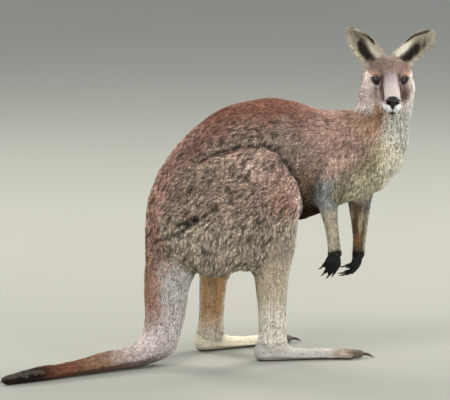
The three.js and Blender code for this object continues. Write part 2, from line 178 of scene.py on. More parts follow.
def triangles(mesh: bpy.types.Mesh) -> Surface:
    """Reads a mesh as corner positions and rows of three corner numbers.

    Args:
        mesh: Any mesh.

    Returns:
        The surface.
    """
    mesh.calc_loop_triangles()
    points = np.empty(len(mesh.vertices) * 3, np.float32)
    mesh.vertices.foreach_get("co", points)
    rows = np.empty(len(mesh.loop_triangles) * 3, np.int32)
    mesh.loop_triangles.foreach_get("vertices", rows)
    return points.reshape(-1, 3).astype(np.float64), rows.reshape(-1, 3)


def together(*surfaces: Surface) -> Surface:
    """Puts several surfaces into one pair of arrays.

    Args:
        surfaces: The surfaces.

    Returns:
        One surface that holds them all.
    """
    counts = np.cumsum([0] + [len(points) for points, _ in surfaces])
    rows = [faces + first for (_, faces), first in zip(surfaces, counts)]
    return np.concatenate([points for points, _ in surfaces]), np.concatenate(rows)


def node_faces(names: Iterable[str]) -> Surface:
    """The triangles of several solids, by their node names."""
    return together(*(triangles(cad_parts[name].data) for name in names))


def ring_faces(rings: int, around: int) -> Array:
    """The triangles of a closed surface made of rings between a first and a last corner.

    Args:
        rings: How many rings.
        around: How many corners each ring has.

    Returns:
        Rows of three corner numbers; corner 0 is the first tip, and the rings follow in order.
    """
    grid = 1 + np.arange(rings * around).reshape(rings, around)
    after = np.roll(grid, -1, axis=1)
    quads = np.stack([grid[:-1], grid[1:], after[1:], after[:-1]], -1).reshape(-1, 4)
    first = np.stack([np.zeros(around, int), grid[0], after[0]], -1)
    last = np.stack([np.full(around, rings * around + 1), after[-1], grid[-1]], -1)
    return np.concatenate([quads[:, [0, 1, 2]], quads[:, [0, 2, 3]], first, last])


def new_object(name: str, points: Array, faces: Array, material: bpy.types.Material) -> bpy.types.Object:
    """Makes a smooth-shaded mesh object at the origin.

    Args:
        name: The object's name.
        points: Corner positions in metres.
        faces: Rows of three or four corner numbers.
        material: Its finish.

    Returns:
        The object, linked to the scene.
    """
    mesh = bpy.data.meshes.new(name)
    sides = faces.shape[1]
    mesh.vertices.add(len(points))
    mesh.vertices.foreach_set("co", np.ascontiguousarray(points, np.float32).ravel())
    mesh.loops.add(faces.size)
    mesh.loops.foreach_set("vertex_index", np.ascontiguousarray(faces, np.int32).ravel())
    mesh.polygons.add(len(faces))
    mesh.polygons.foreach_set("loop_start", np.arange(0, faces.size, sides, dtype=np.int32))
    mesh.polygons.foreach_set("use_smooth", np.ones(len(faces), bool))
    mesh.update(calc_edges=True)
    mesh.validate()
    mesh.materials.append(material)
    piece = bpy.data.objects.new(name, mesh)
    bpy.context.scene.collection.objects.link(piece)
    LOG.info("%s: %d corners, %d faces", name, len(points), len(faces))
    return piece


def apply_modifiers(piece: bpy.types.Object) -> None:
    """Applies a piece's modifiers to its mesh.

    Args:
        piece: The piece.
    """
    mesh = bpy.data.meshes.new_from_object(piece.evaluated_get(bpy.context.evaluated_depsgraph_get()))
    piece.modifiers.clear()
    old, piece.data = piece.data, mesh
    bpy.data.meshes.remove(old)


def corner_normals(points: Array, rows: Array) -> Array:
    """The area-weighted mean of the normals of the triangles that meet at each corner.

    Args:
        points: Corner positions.
        rows: Triangles.

    Returns:
        A unit normal for each corner.
    """
    cross = np.cross(points[rows[:, 1]] - points[rows[:, 0]], points[rows[:, 2]] - points[rows[:, 0]])
    total = np.zeros_like(points)
    for side in range(3):
        for axis in range(3):
            total[:, axis] += np.bincount(rows[:, side], cross[:, axis], len(points))
    return unit(total)


def paint(mesh: bpy.types.Mesh, colours: Array) -> None:
    """Stores colours on the corners of a mesh as the attribute coat_colour.

    Args:
        mesh: The mesh.
        colours: Linear colours, one row for each corner.
    """
    layer = mesh.color_attributes.new("coat_colour", "FLOAT_COLOR", "POINT")
    data = np.ones((len(colours), 4), np.float32)
    data[:, :3] = colours
    layer.data.foreach_set("color", data.ravel())


def blank_material(name: str) -> tuple[bpy.types.Material, bpy.types.NodeTree]:
    """Starts a node material.

    Args:
        name: Its name.

    Returns:
        The material, and its empty node tree.
    """
    material = bpy.data.materials.new(name)
    material.use_nodes = True
    material.node_tree.nodes.clear()
    return material, material.node_tree


def add_node(tree: bpy.types.NodeTree, kind: str, settings: dict, links: dict) -> bpy.types.Node:
    """Adds a shader node.

    Args:
        tree: The material's node tree.
        kind: The node's type.
        settings: Properties, and input values by socket name or number.
        links: Input socket name or number, with the output socket that feeds it.

    Returns:
        The new node.
    """
    node = tree.nodes.new(kind)
    for key, value in settings.items():
        if isinstance(key, int) or key in node.inputs:
            node.inputs[key].default_value = value
        else:
            setattr(node, key, value)
    for key, source in links.items():
        tree.links.new(source, node.inputs[key])
    return node


# ---------------------------------------------------------------- sampled solids


def distance_grid(points: Array, faces: Array, step: float, outside: float, inside: float) -> openvdb.FloatGrid:
    """Samples the distance to closed surfaces near them, negative inside.

    Args:
        points: Corners of the surfaces; they may cross each other, and then count as one solid.
        faces: Their triangles or quads.
        step: Lattice spacing.
        outside: How far out the distance is wanted.
        inside: How far in it is wanted.

    Returns:
        The sparse grid.
    """
    kind = "quads" if faces.shape[1] == 4 else "triangles"
    return openvdb.FloatGrid.createLevelSetFromPolygons(
        np.ascontiguousarray(points, np.float32),
        transform=openvdb.createLinearTransform(step),
        exBandWidth=outside / step + 2,
        inBandWidth=inside / step + 2,
        **{kind: np.ascontiguousarray(faces, np.uint32)},
    )


def level_surface(grid: openvdb.FloatGrid, level: float, corner: Array) -> Surface:
    """Meshes one level of a grid.

    Args:
        grid: Distances on a lattice.
        level: The distance to mesh.
        corner: Where the lattice starts.

    Returns:
        The surface, in rows of four corner numbers.
    """
    points, quads = grid.convertToQuads(level)
    return points.astype(np.float64) + corner, quads.astype(np.int64)


def closed(names: list[str], step: float, reach: float) -> Surface:
    """Joins solids into one surface and fills its narrow gaps and creases.

    The surface is moved out by reach and back in by reach, which leaves a round of that radius in
    each crease and the rest as it was.

    Args:
        names: The solids' node names.
        step: Lattice spacing.
        reach: The closing radius.

    Returns:
        The surface, in rows of four corner numbers.
    """
    points, faces = node_faces(names)
    swollen, quads = distance_grid(points - LATTICE_CORNER, faces, step, reach, step).convertToQuads(reach)
    return level_surface(distance_grid(swollen, quads, step, step, reach), -reach, LATTICE_CORNER)


def outward(points: Array, faces: Array) -> Array:
    """Turns the faces of a closed surface over if they face inward (its signed volume is negative).

    Args:
        points: Corner positions.
        faces: Rows of corner numbers.

    Returns:
        The faces, facing outward.
    """
    a, b, c = (points[faces[:, k]] for k in range(3))
    volume = np.einsum("ij,ij->", a - points.mean(0), np.cross(b - a, c - a))
    return faces if volume > 0 else faces[:, ::-1]


@dataclass
class Field:
    """Distance to a surface, sampled on a cubic lattice: negative inside, positive outside."""

    low: Array
    step: float
    values: Array

    @classmethod
    def within(cls, surface: Surface, box: tuple[Array, Array], step: float, band: float) -> "Field":
        """Samples closed surfaces inside a box.

        Args:
            surface: The surfaces.
            box: Lowest and highest corner to sample.
            step: Lattice spacing.
            band: How far from the surface the distance is exact.

        Returns:
            The sampled distance.
        """
        low = np.asarray(box[0], float)
        shape = tuple(int(n) for n in np.ceil((np.asarray(box[1]) - low) / step) + 1)
        values = np.empty(shape, np.float32)
        distance_grid(surface[0] - low, surface[1], step, band, band).copyToArray(values)
        return cls(low, step, values)

    def surface(self) -> Surface:
        """Meshes the zero level.

        Returns:
            The surface, in rows of four corner numbers, facing outward.
        """
        grid = openvdb.FloatGrid(float(self.values.max()))
        grid.copyFromArray(self.values, tolerance=1e-7)
        grid.transform = openvdb.createLinearTransform(self.step)
        points, quads = level_surface(grid, 0.0, self.low)
        return points, outward(points, quads)

    def sample(self, points: Array) -> Array:
        """Reads the field between lattice points, by straight blending along each axis.

        Args:
            points: Where to read it.

        Returns:
            The distance at each point.
        """
        place = np.clip((points - self.low) / self.step, 0, np.array(self.values.shape) - 1.001)
        base = place.astype(np.int64)
        t = place - base
        total = np.zeros(len(points))
        for corner in range(8):
            i, j, k = corner & 1, (corner >> 1) & 1, (corner >> 2) & 1
            share = np.abs(1 - i - t[:, 0]) * np.abs(1 - j - t[:, 1]) * np.abs(1 - k - t[:, 2])
            total += share * self.values[base[:, 0] + i, base[:, 1] + j, base[:, 2] + k]
        return total

    def slope(self, points: Array) -> tuple[Array, Array]:
        """The direction in which the field grows, from differences across one step.

        Args:
            points: Where to read it.

        Returns:
            The gradient, and its squared length, which is kept from going under 0.3.
        """
        gradient = np.empty_like(points)
        for axis in range(3):
            move = np.zeros(3)
            move[axis] = self.step
            gradient[:, axis] = self.sample(points + move) - self.sample(points - move)
        gradient = gradient / (2 * self.step)
        return gradient, np.maximum((gradient**2).sum(1, keepdims=True), 0.3)

    def inset(self, points: Array) -> Array:
        """How far each point is inside the sampled box, negative where it is outside."""
        high = self.low + (np.array(self.values.shape) - 1) * self.step
        return np.minimum(points - self.low, high - points).min(1)

    def window(self, centre: Array, radius: float) -> tuple[tuple[slice, ...], Array]:
        """Picks the lattice points near a place.

        Args:
            centre: The place.
            radius: Half the side of the cube to pick.

        Returns:
            Slices into the values, and the lattice positions in that cube.
        """
        first = np.floor((centre - radius - self.low) / self.step).astype(int)
        last = np.ceil((centre + radius - self.low) / self.step).astype(int) + 1
        first, last = np.maximum(first, 0), np.minimum(last, self.values.shape)
        axes = [self.low[k] + self.step * np.arange(first[k], last[k]) for k in range(3)]
        window = tuple(slice(a, b) for a, b in zip(first, last))
        return window, np.stack(np.meshgrid(*axes, indexing="ij"), -1)

    def blurred(self, passes: int) -> None:
        """Evens the field out with the weights 1, 2, 1 along each axis.

        Args:
            passes: How many times over.
        """
        for _ in range(passes):
            for axis in range(3):
                v = np.moveaxis(self.values, axis, 0)
                v[1:-1] = 0.25 * (v[:-2] + v[2:]) + 0.5 * v[1:-1]


def joined(a: Array, b: Array, blend: float) -> Array:
    """The union of two distances with a round of about the given radius where they meet."""
    return np.minimum(a, b) - np.maximum(blend - np.abs(a - b), 0) ** 2 / (4 * blend)


def carved(a: Array, b: Array, blend: float) -> Array:
    """The first solid with the second cut out of it, its rim rounded off."""
    return -joined(-a, b, blend)


def egg(local: Array, centre: Point, half: Point) -> Array:
    """About the distance to an ellipsoid: (|p / half| - 1) times its mean half-axis there.

    Args:
        local: Points in millimetres.
        centre: The ellipsoid's middle.
        half: Its three half-axes.

    Returns:
        A distance in millimetres.
    """
    offset = local - np.array(centre, float)
    k = np.linalg.norm(offset / np.array(half, float), axis=-1)
    k2 = np.linalg.norm(offset / np.array(half, float) ** 2, axis=-1)
    return k * (k - 1) / np.maximum(k2, 1e-6)


# ---------------------------------------------------------------- the animal's plan


@dataclass(frozen=True)
class HeadFrame:
    """Head axes: forward along the muzzle, to the animal's left, and up, from the eyes' midpoint."""

    origin: Array
    forward: Array
    left: Array
    up: Array
    behind_eyes: ClassVar[float] = 10.5  # from the eyes' midpoint back to the origin
    ear_root: ClassVar[tuple[float, float]] = (38.0, 42.0)  # outward and up
    ear_half: ClassVar[float] = 34.0  # half of an ear's width
    ear_tall: ClassVar[float] = 104.0
    ear_lean: ClassVar[tuple[float, float]] = (35.0, 48.5)  # the right ear's and the left ear's, in degrees
    pitch: ClassVar[float] = 3.0  # how far down the muzzle points, in degrees

    @classmethod
    def from_solids(cls) -> "HeadFrame":
        """Places the frame from the boxes of the two eyes.

        Returns:
            The frame in metres.
        """
        right = sum((np.array(c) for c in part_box("eye_right")), np.zeros(3)) / 2
        left = sum((np.array(c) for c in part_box("eye_left")), np.zeros(3)) / 2
        across = unit(left - right)
        level = unit(np.cross(across, np.array([0.0, 0.0, 1.0])))
        pitch = math.radians(cls.pitch)
        forward = level * math.cos(pitch) - np.array([0, 0, math.sin(pitch)])
        up = np.cross(forward, across)
        return cls((left + right) / 2 - forward * cls.behind_eyes * MM, forward, across, unit(up))

    def on_ear(self, local: Array, side: float) -> tuple[Array, Array, Array]:
        """Finds places on an ear, seen from the front.

        Args:
            local: Places in head millimetres.
            side: 1 for the left ear, -1 for the right one.

        Returns:
            How far across (-1 at the lower rim, 1 at the upper one), how far up (0 to 1), and
            the direction from the lower to the upper rim as a unit vector.
        """
        lean = math.radians(self.ear_lean[side > 0])
        rel = np.stack([local[:, 1] - side * self.ear_root[0], local[:, 2] - self.ear_root[1]], 1)
        across = rel @ np.array([-side * math.cos(lean), math.sin(lean)]) / self.ear_half
        up = rel @ np.array([side * math.sin(lean), math.cos(lean)]) / self.ear_tall
        return across, up, self.up * math.sin(lean) - self.left * (side * math.cos(lean))

    def local(self, points: Array) -> Array:
        """World metres to head millimetres (forward, left, up)."""
        flat = (points.reshape(-1, 3) - self.origin) @ np.stack([self.forward, self.left, self.up], 1)
        return (flat / MM).reshape(points.shape)

    def world(self, local: Array) -> Array:
        """Head millimetres to world metres."""
        return self.origin + np.asarray(local, float) * MM @ np.stack([self.forward, self.left, self.up])


@dataclass(frozen=True)
class Axis:
    """The centre line of a part, as points from its near end to its far end."""

    points: Array

    @classmethod
    def through(cls, cloud: Array, heading: Point, count: int) -> "Axis":
        """Cuts a cloud of corners into slices across a heading and joins the slices' middles.

        Args:
            cloud: Corner positions of the part's solids.
            heading: The direction from the near end to the far end.
            count: How many slices.

        Returns:
            The centre line.
        """
        along = cloud @ unit(np.array(heading, float))
        edges = np.linspace(along.min(), along.max() + 1e-6, count + 1)
        reach = (edges[1] - edges[0]) * 0.75
        middles = (edges[:-1] + edges[1:]) / 2
        picked = [cloud[np.abs(along - m) < reach] for m in middles]
        return cls(np.array([(c.min(0) + c.max(0)) / 2 for c in picked if len(c) > 2]))

    def locate(self, points: Array) -> tuple[Array, Array, Array]:
        """Finds the nearest place on the centre line.

        Args:
            points: Points near the part.

        Returns:
            The share of the way along (0 to 1), the offset from the line, and its direction.
        """
        a, b = self.points[:-1], self.points[1:]
        run = b - a
        lengths = np.linalg.norm(run, axis=1)
        starts = np.concatenate([[0], np.cumsum(lengths)])
        rel = points[:, None, :] - a[None]
        s = np.clip((rel * run).sum(-1) / (lengths**2), 0, 1)
        gap = rel - s[..., None] * run
        best = np.argmin((gap**2).sum(-1), axis=1)
        rows = np.arange(len(points))
        s = s[rows, best]
        corner = unit(np.gradient(self.points, axis=0))
        direction = unit(corner[best] * (1 - s[:, None]) + corner[best + 1] * s[:, None])
        return (starts[best] + s * lengths[best]) / starts[-1], gap[rows, best], direction


@dataclass(frozen=True)
class CoatPlan:
    """The hair of one part of the body, in millimetres and degrees.

    heading runs from the part's near end to its far end, which is the way the hair lies. depth is
    how far the skin lies under the tips. ruffle is how much the lie wanders.
    """

    nodes: tuple[str, ...]
    heading: Point
    slices: int
    depth: float
    length: float
    width: float
    lift: float
    spacing: float
    ruffle: float


TAIL = ("tail_base", "tail_middle", "tail_tip")
PLANS: dict[str, CoatPlan] = {
    "trunk": CoatPlan(("trunk",), (-0.85, 0, -0.52), 12, 2.8, 12, 1.95, 16, 2.35, 0.27),
    "neck": CoatPlan(("neck",), (-0.35, 0, -0.94), 6, 2.4, 11, 1.8, 19, 2.2, 0.26),
    "head": CoatPlan(("head",), (0.0, 1.0, -0.1), 6, 1.0, 6, 1.3, 13, 1.7, 0.22),
    "ear_left": CoatPlan(("ear_left",), (0.70, 0, 0.72), 7, 0.0, 6, 1.3, 9, 2.1, 0.2),
    "ear_right": CoatPlan(("ear_right",), (-0.57, 0, 0.82), 7, 0.0, 6, 1.3, 9, 2.1, 0.2),
    "thigh_left": CoatPlan(("thigh_left",), (0.1, 0, -1), 5, 2.8, 12, 2.1, 16, 2.5, 0.28),
    "thigh_right": CoatPlan(("thigh_right",), (0.1, 0, -1), 5, 2.8, 12, 1.95, 16, 2.3, 0.28),
    "shank_left": CoatPlan(("shank_left",), (-0.1, 0, -1), 6, 1.6, 8, 1.6, 9, 2.3, 0.2),
    "shank_right": CoatPlan(("shank_right",), (-0.1, 0, -1), 6, 1.6, 8, 1.6, 9, 2.2, 0.2),
    "foot_left": CoatPlan(("foot_left",), (0.88, 0.47, 0), 8, 0.8, 5.5, 1.6, 7, 2.5, 0.16),
    "foot_right": CoatPlan(("foot_right",), (0.98, 0.17, 0), 8, 0.8, 5.5, 1.6, 7, 2.4, 0.16),
    "tail": CoatPlan(TAIL, (-0.5, -0.4, -0.75), 16, 2.4, 10.5, 1.8, 12, 2.3, 0.18),
    "upper_arm_left": CoatPlan(("upper_arm_left",), (0, 0, -1), 4, 1.8, 9, 1.9, 12, 2.4, 0.30),
    "upper_arm_right": CoatPlan(("upper_arm_right",), (-0.4, 0, -1), 4, 1.8, 9, 1.9, 12, 2.3, 0.32),
    "forearm_left": CoatPlan(("forearm_left",), (0, 0, -1), 6, 1.3, 7, 1.7, 9, 2.3, 0.26),
    "forearm_right": CoatPlan(("forearm_right",), (0.1, 0, -1), 6, 1.3, 7, 1.7, 9, 2.2, 0.28),
    "hand_left": CoatPlan(("hand_left",), (-0.3, 0, -1), 4, 0.5, 4, 1.2, 8, 2.1, 0.15),
    "hand_right": CoatPlan(("hand_right",), (0, 0, -1), 4, 0.5, 4, 1.2, 8, 2.1, 0.15),
}
NAMES = list(PLANS)
FAINT = 0.01  # a part with less weight than this at a place is left out there
FLESH = [node for plan in PLANS.values() for node in plan.nodes]
# upper and lower part, how far round their overlap is sampled, and the fillet, in millimetres
FILLETS = (("thigh", "shank", 60, 34), ("shank", "foot", 46, 26))


@dataclass
class Site:
    """A set of places on the skin with what the markings and the lie of the coat need there.

    weights has a column for each part, and says how much the place belongs to it. along is how
    far along each part it is. head is the place in head millimetres.
    """

    points: Array
    normals: Array
    weights: Array
    along: Array
    head: Array

    def share(self, *starts: str) -> Array:
        """How much each place belongs to the parts whose names start so."""
        columns = [i for i, name in enumerate(NAMES) if name.startswith(starts)]
        return self.weights[:, columns].sum(1)

    def way(self, name: str) -> Array:
        """How far each place is along a part, from 0 to 1."""
        return self.along[:, NAMES.index(name)]

    def plan(self, key: str) -> Array:
        """A size of the coat's plan, blended between parts."""
        return self.weights @ np.array([getattr(PLANS[name], key) for name in NAMES], float)

    @property
    def mm(self) -> Array:
        """Forward, left and up in millimetres, one row each."""
        return self.points.T / MM

    def flank(self, low: float) -> Array:
        """How much each place is on the side of trunk or thigh, from a sideways normal of low up."""
        return self.share("thigh", "trunk") * ramp(low, 0.6, np.abs(self.normals[:, 1]))

    def waves(self) -> tuple[Array, Array]:
        """The ridges of loose coat that are drawn out down and back.

        Returns:
            How loose the coat is (0 to 1), and the ridges (-1 to 1).
        """
        amount = self.share("thigh") + self.share("trunk") * ramp(0.16, -0.02, self.points[:, 0])
        streaks = noise(stretched(self.points, DOWN_BACK, 3.4), 10 * MM, 41)
        return np.clip(amount, 0, 1) * ramp(0.18, 0.30, self.points[:, 2]), 1 - np.abs(streaks) * 2

    def picked(self, rows: Array) -> "Site":
        """The same for some of the places."""
        return Site(*(getattr(self, part.name)[rows] for part in fields(self)))


@dataclass(frozen=True)
class Fold:
    """A line drawn over both flanks where loose skin folds: a groove, or a ridge if negative."""

    nodes: tuple[tuple[float, float], ...]  # forward and upward, in millimetres
    width: float
    depth: float
    shade: float

    def near(self, points: Array) -> tuple[Array, Array]:
        """Finds how far each place is from the line, seen from the side.

        Args:
            points: Places in metres.

        Returns:
            The distance in millimetres, positive on the line's right hand, and a share that
            fades out beyond the line's two ends.
        """
        flat = points[:, [0, 2]] / MM
        best, sign = np.full(len(flat), 1e9), np.ones(len(flat))
        for a, b in zip(np.array(self.nodes[:-1]), np.array(self.nodes[1:])):
            way, rel = b - a, flat - a
            t = np.clip(rel @ way / (way @ way), 0, 1)
            gap = np.linalg.norm(rel - t[:, None] * way, axis=1)
            turn = rel[:, 1] * way[0] - rel[:, 0] * way[1]
            closer = gap < best
            best = np.where(closer, gap, best)
            sign = np.where(closer, np.where(turn < 0, 1.0, -1.0), sign)
        ends = np.minimum(*(np.linalg.norm(flat - np.array(self.nodes[k]), axis=1) for k in (0, -1)))
        return best * sign, ramp(0, 4 * self.width, ends + self.width)


# the thigh's upper and front edge
THIGH_EDGE = (
    *((-62, 506), (-28, 524), (8, 536), (56, 546), (108, 549)),
    *((141, 532), (169, 494), (188, 462), (204, 412), (208, 366)),
)
FOLDS = (
    Fold(THIGH_EDGE, 4.2, 5.0, 0.85),
    Fold(((-172, 306), (-104, 339), (-66, 368), (-28, 390), (2, 412)), 4.0, 5.0, 0.9),
    Fold(((-118, 355), (-90, 363), (-52, 372)), 5.0, 6.0, 1.0),
    Fold(((-88, 314), (-52, 340), (-17, 376)), 6.0, -2.5, -0.2),
    Fold(((-160, 288), (-120, 310), (-84, 340)), 5.0, -2.0, -0.15),
    Fold(((118, 388), (84, 338), (52, 288)), 14.0, 4.0, 0.32),
    Fold(((-20, 458), (30, 468), (70, 462)), 8.0, 2.0, 0.16),
    Fold(((-120, 418), (-70, 440), (-10, 446)), 4.5, 3.0, 0.45),
)


@dataclass
class Anatomy:
    """Which part of the body a place belongs to, and how far along it."""

    head: HeadFrame
    blend: float = 4.5 * MM
    reach: float = 24 * MM
    step: float = 6 * MM
    band: float = 30 * MM
    axes: dict[str, Axis] = field(default_factory=dict)
    fields: dict[str, Field] = field(default_factory=dict)

    def survey(self) -> None:
        """Samples each part's solids and finds its centre line."""
        for name, plan in PLANS.items():
            surface = node_faces(plan.nodes)
            box = (surface[0].min(0) - self.band, surface[0].max(0) + self.band)
            self.fields[name] = Field.within(surface, box, self.step, self.band)
            self.axes[name] = Axis.through(surface[0], plan.heading, plan.slices)

    def site(self, points: Array, normals: Array) -> Site:
        """Works out the part weights, exp(-gap / blend), and the places along each part.

        Args:
            points: Places on the skin.
            normals: The skin's normals there.

        Returns:
            The places with their weights.
        """
        gaps = np.full((len(points), len(NAMES)), self.reach)
        along = np.zeros_like(gaps)
        for column, name in enumerate(NAMES):
            grid = self.fields[name]
            near = grid.inset(points) > grid.step
            if near.any():
                gaps[near, column] = np.minimum(grid.sample(points[near]), self.reach)
                along[near, column] = self.axes[name].locate(points[near])[0]
        gaps = gaps - gaps.min(1, keepdims=True)
        weights = np.exp(-gaps / self.blend)
        weights /= weights.sum(1, keepdims=True)
        return Site(points, normals, weights, along, self.head.local(points))


# ---------------------------------------------------------------- markings


@dataclass(frozen=True)
class Palette:
    """Hair colours of a grey kangaroo, as sRGB hex; some are also laid on as painted shade or painted light."""

    back: str = "#8b5b4a"
    flank: str = "#9b887c"
    rump: str = "#d1a392"
    saddle: str = "#cca99a"
    belly: str = "#6b4b18"
    dark_brown_and_shade: str = "#321f07"
    chest: str = "#fff6d9"
    side: str = "#9e9571"
    thigh: str = "#a18c7e"
    thigh_front: str = "#dcbcaf"
    thigh_low: str = "#baad9b"
    knee: str = "#a27867"
    shin: str = "#c8bba1"
    shin_low: str = "#e7e1d4"
    ochre: str = "#eca248"
    foot: str = "#b3b0ac"
    toes: str = "#918170"
    sole: str = "#4d4139"
    tail_back: str = "#bb937f"
    tail_side: str = "#c2bebb"
    tail_bend: str = "#dbd0cf"
    tail_brown: str = "#96755c"
    tail_rust: str = "#7d4e37"
    tail_under: str = "#4a2f22"
    tail_black: str = "#1c0e06"
    neck: str = "#c3a186"
    nape: str = "#c0a28f"
    rufous: str = "#8d664b"
    throat: str = "#dfddd4"
    arm: str = "#848888"
    forearm: str = "#aca591"
    arm_inside: str = "#5d4c35"
    wrist: str = "#a8743c"
    black: str = "#090705"
    forehead: str = "#846f66"
    crown: str = "#a39083"
    bridge: str = "#9c9198"
    under_eye: str = "#674b42"
    lid: str = "#221815"
    lid_light: str = "#cdbab0"
    brow: str = "#bd9172"
    socket: str = "#4a352c"
    stripe: str = "#392420"
    muzzle: str = "#bdb3b0"
    cheek: str = "#faede9"
    cheek_low: str = "#d4c4bc"
    lips: str = "#e5e6e8"
    chin: str = "#6b615a"
    mouth: str = "#1c1816"
    ear: str = "#aaa391"
    ear_pale: str = "#c5beb1"
    ear_hollow: str = "#180d06"
    ear_rim: str = "#e6dcbc"
    ear_tuft: str = "#fdf6e5"
    ear_back: str = "#967a62"
    tips: str = "#cab4a6"
    ear_line: str = "#322218"


@dataclass
class Markings:
    """The pattern of the coat, as a function of the place on the body."""

    palette: Palette
    head: HeadFrame
    eye: "Eye"
    seam_shade: float = 0.6
    fold_spread: float = 1.3
    edge_light: float = 0.6
    ridge_shade: float = 0.14
    mottle: float = 0.10

    def tone(self, name: str) -> Array:
        """A palette colour as linear values."""
        return linear(getattr(self.palette, name))

    def layered(self, base: str, *layers: tuple[str, Array]) -> Array:
        """Lays colours over one another in turn.

        Args:
            base: The palette's name of the lowest colour.
            layers: The names of the colours above it, each with its share at every place.

        Returns:
            The colour at every place.
        """
        colour = self.tone(base)
        for name, share in layers:
            colour = mixed(colour, self.tone(name), share)
        return colour

    def colour(self, site: Site) -> Array:
        """The hair's colour: each part's own pattern, blended by the weights, with shade and mottle.

        Args:
            site: The places.

        Returns:
            Linear colours, one row each.
        """
        total = np.zeros((len(site.points), 3))
        for column, name in enumerate(NAMES):
            rows = site.weights[:, column] > FAINT
            if rows.any():
                pattern = getattr(self, "on_" + name.removesuffix("_left").removesuffix("_right"))
                side = 1.0 if name.endswith("left") else -1.0
                total[rows] += pattern(site.picked(rows), side) * site.weights[rows, column, None]
        total /= np.maximum(site.weights.sum(1, keepdims=True), 1e-6)
        # shade in the seams between limbs and trunk
        x, _, z = site.points.T
        seam = site.share("thigh") * ramp(0.10, 0.16, x) + site.share("upper") * ramp(0.26, 0.24, x)
        seam = np.clip(4 * site.share("trunk") * seam, 0, 1)
        total *= 1 - (self.seam_shade * seam * ramp(0.62, 0.50, z))[:, None]
        # shade along the folds, and light on the thigh's front edge
        flank = site.flank(0.3)
        near = [fold.near(site.points) for fold in FOLDS]
        for fold, (gap, share) in zip(FOLDS, near):
            total *= 1 - (flank * share * (fold.shade * bell(0, fold.width * self.fold_spread, gap)))[:, None]
        gap, share = near[0]
        total *= 1 + (self.edge_light * flank * share * ramp(380, 430, z / MM) * bell(13, 8, gap))[:, None]
        amount, ridges = site.waves()
        total *= 1 + (self.ridge_shade * amount * (ridges - 0.35))[:, None]
        patch = noise(site.points, 38 * MM, 11) * 0.6 + noise(site.points, 17 * MM, 12) * 0.4
        return total * (1 + self.mottle * patch[:, None] * np.array([0.9, 1.0, 1.1]))

    def on_trunk(self, s: Site, _: float) -> Array:
        """Brown back, greyer flanks, pale chest; the low belly behind it darker, partly its own brown and partly
        painted shade on the underside and in the hollow before the thigh.

        Args:
            s: Places on the trunk.

        Returns:
            Their colours.
        """
        (x, _, z), n = s.mm, s.normals
        # the hollow between the thigh's front and the arm, darkened below as painted shade
        shaded_hollow = ramp(272, 244, x) * ramp(150, 185, x) * ramp(530, 410, z)
        slant = ((x - 336) - (z - 483)) / math.sqrt(2)
        cream = ramp(-26, 24, slant + 10 * noise(s.points, 14 * MM, 15)) * ramp(262, 292, x)
        pale = ramp(0.0, 0.40, n[:, 0] - 0.15 * n[:, 2]) * ramp(345, 400, x + 0.3 * (z - 500))
        return self.layered(
            "flank",
            ("back", ramp(0.30, 0.92, n[:, 2] + 0.12 * noise(s.points, 30 * MM, 29))),
            ("saddle", ramp(170, 280, x) * ramp(-0.3, 0.5, n[:, 2]) * 0.8),
            ("rump", ramp(-0.35, -0.95, n[:, 0]) * 0.75),
            # the underside is darker: partly the belly's own brown, partly painted shade where it faces down
            ("belly", ramp(0.1, -0.6, n[:, 2]) * ramp(330, 240, x)),
            ("dark_brown_and_shade", ramp(-0.1, -0.75, n[:, 2]) * ramp(290, 230, x) * 0.9),
            # painted shade in the hollow between thigh and arm
            ("belly", shaded_hollow * 0.9),
            ("dark_brown_and_shade", shaded_hollow * ramp(460, 380, z) * 0.9),
            ("side", cream),
            ("chest", np.maximum(pale, 0.6 * ramp(0.0, -0.5, n[:, 2]) * ramp(290, 330, x))),
        )

    def on_neck(self, s: Site, _: float) -> Array:
        """Reddish nape, a rufous patch behind the jaw, whitish throat.

        Args:
            s: Places on the neck.

        Returns:
            Their colours.
        """
        (x, _, z), n = s.mm, s.normals
        spot = bell(392, 22, x) * bell(612, 26, z) * ramp(0.2, -0.6, n[:, 1])
        slant = ((x - 336) - (z - 483)) / math.sqrt(2)
        f, l, u = s.head.T
        halo = ramp(-64, -42, f) * ramp(30, 42, np.abs(l)) * ramp(-92, -72, u) * ramp(45, 25, u)
        return self.layered(
            "neck",
            ("nape", ramp(0.1, -0.8, n[:, 0])),
            ("rufous", spot * 0.75),
            ("side", ramp(-34, 16, slant + 10 * noise(s.points, 14 * MM, 15))),
            ("throat", ramp(0.02, 0.40, n[:, 0])),
            ("cheek", halo * 0.9),
        )

    def on_head(self, s: Site, _: float) -> Array:
        """Mottled forehead, rufous brows, dark lids and stripes, pale muzzle, white lips, with painted shade round the
        eyes and over the far side of the face.

        Args:
            s: Places on the head.

        Returns:
            Their colours.
        """
        f, l, u = s.head.T
        side = np.abs(l)
        turned = np.abs(s.normals @ self.head.left)
        far = np.where(l > 0, 1.0, 0.0)

        def spot(f0: float, s0: float, u0: float, rf: float, rs: float, ru: float) -> Array:
            """A soft oval patch on both sides of the face, from its middle and its three radii."""
            reach = ((f - f0) / rf) ** 2 + ((side - s0) / rs) ** 2 + ((u - u0) / ru) ** 2
            return np.exp(-(reach**1.5))

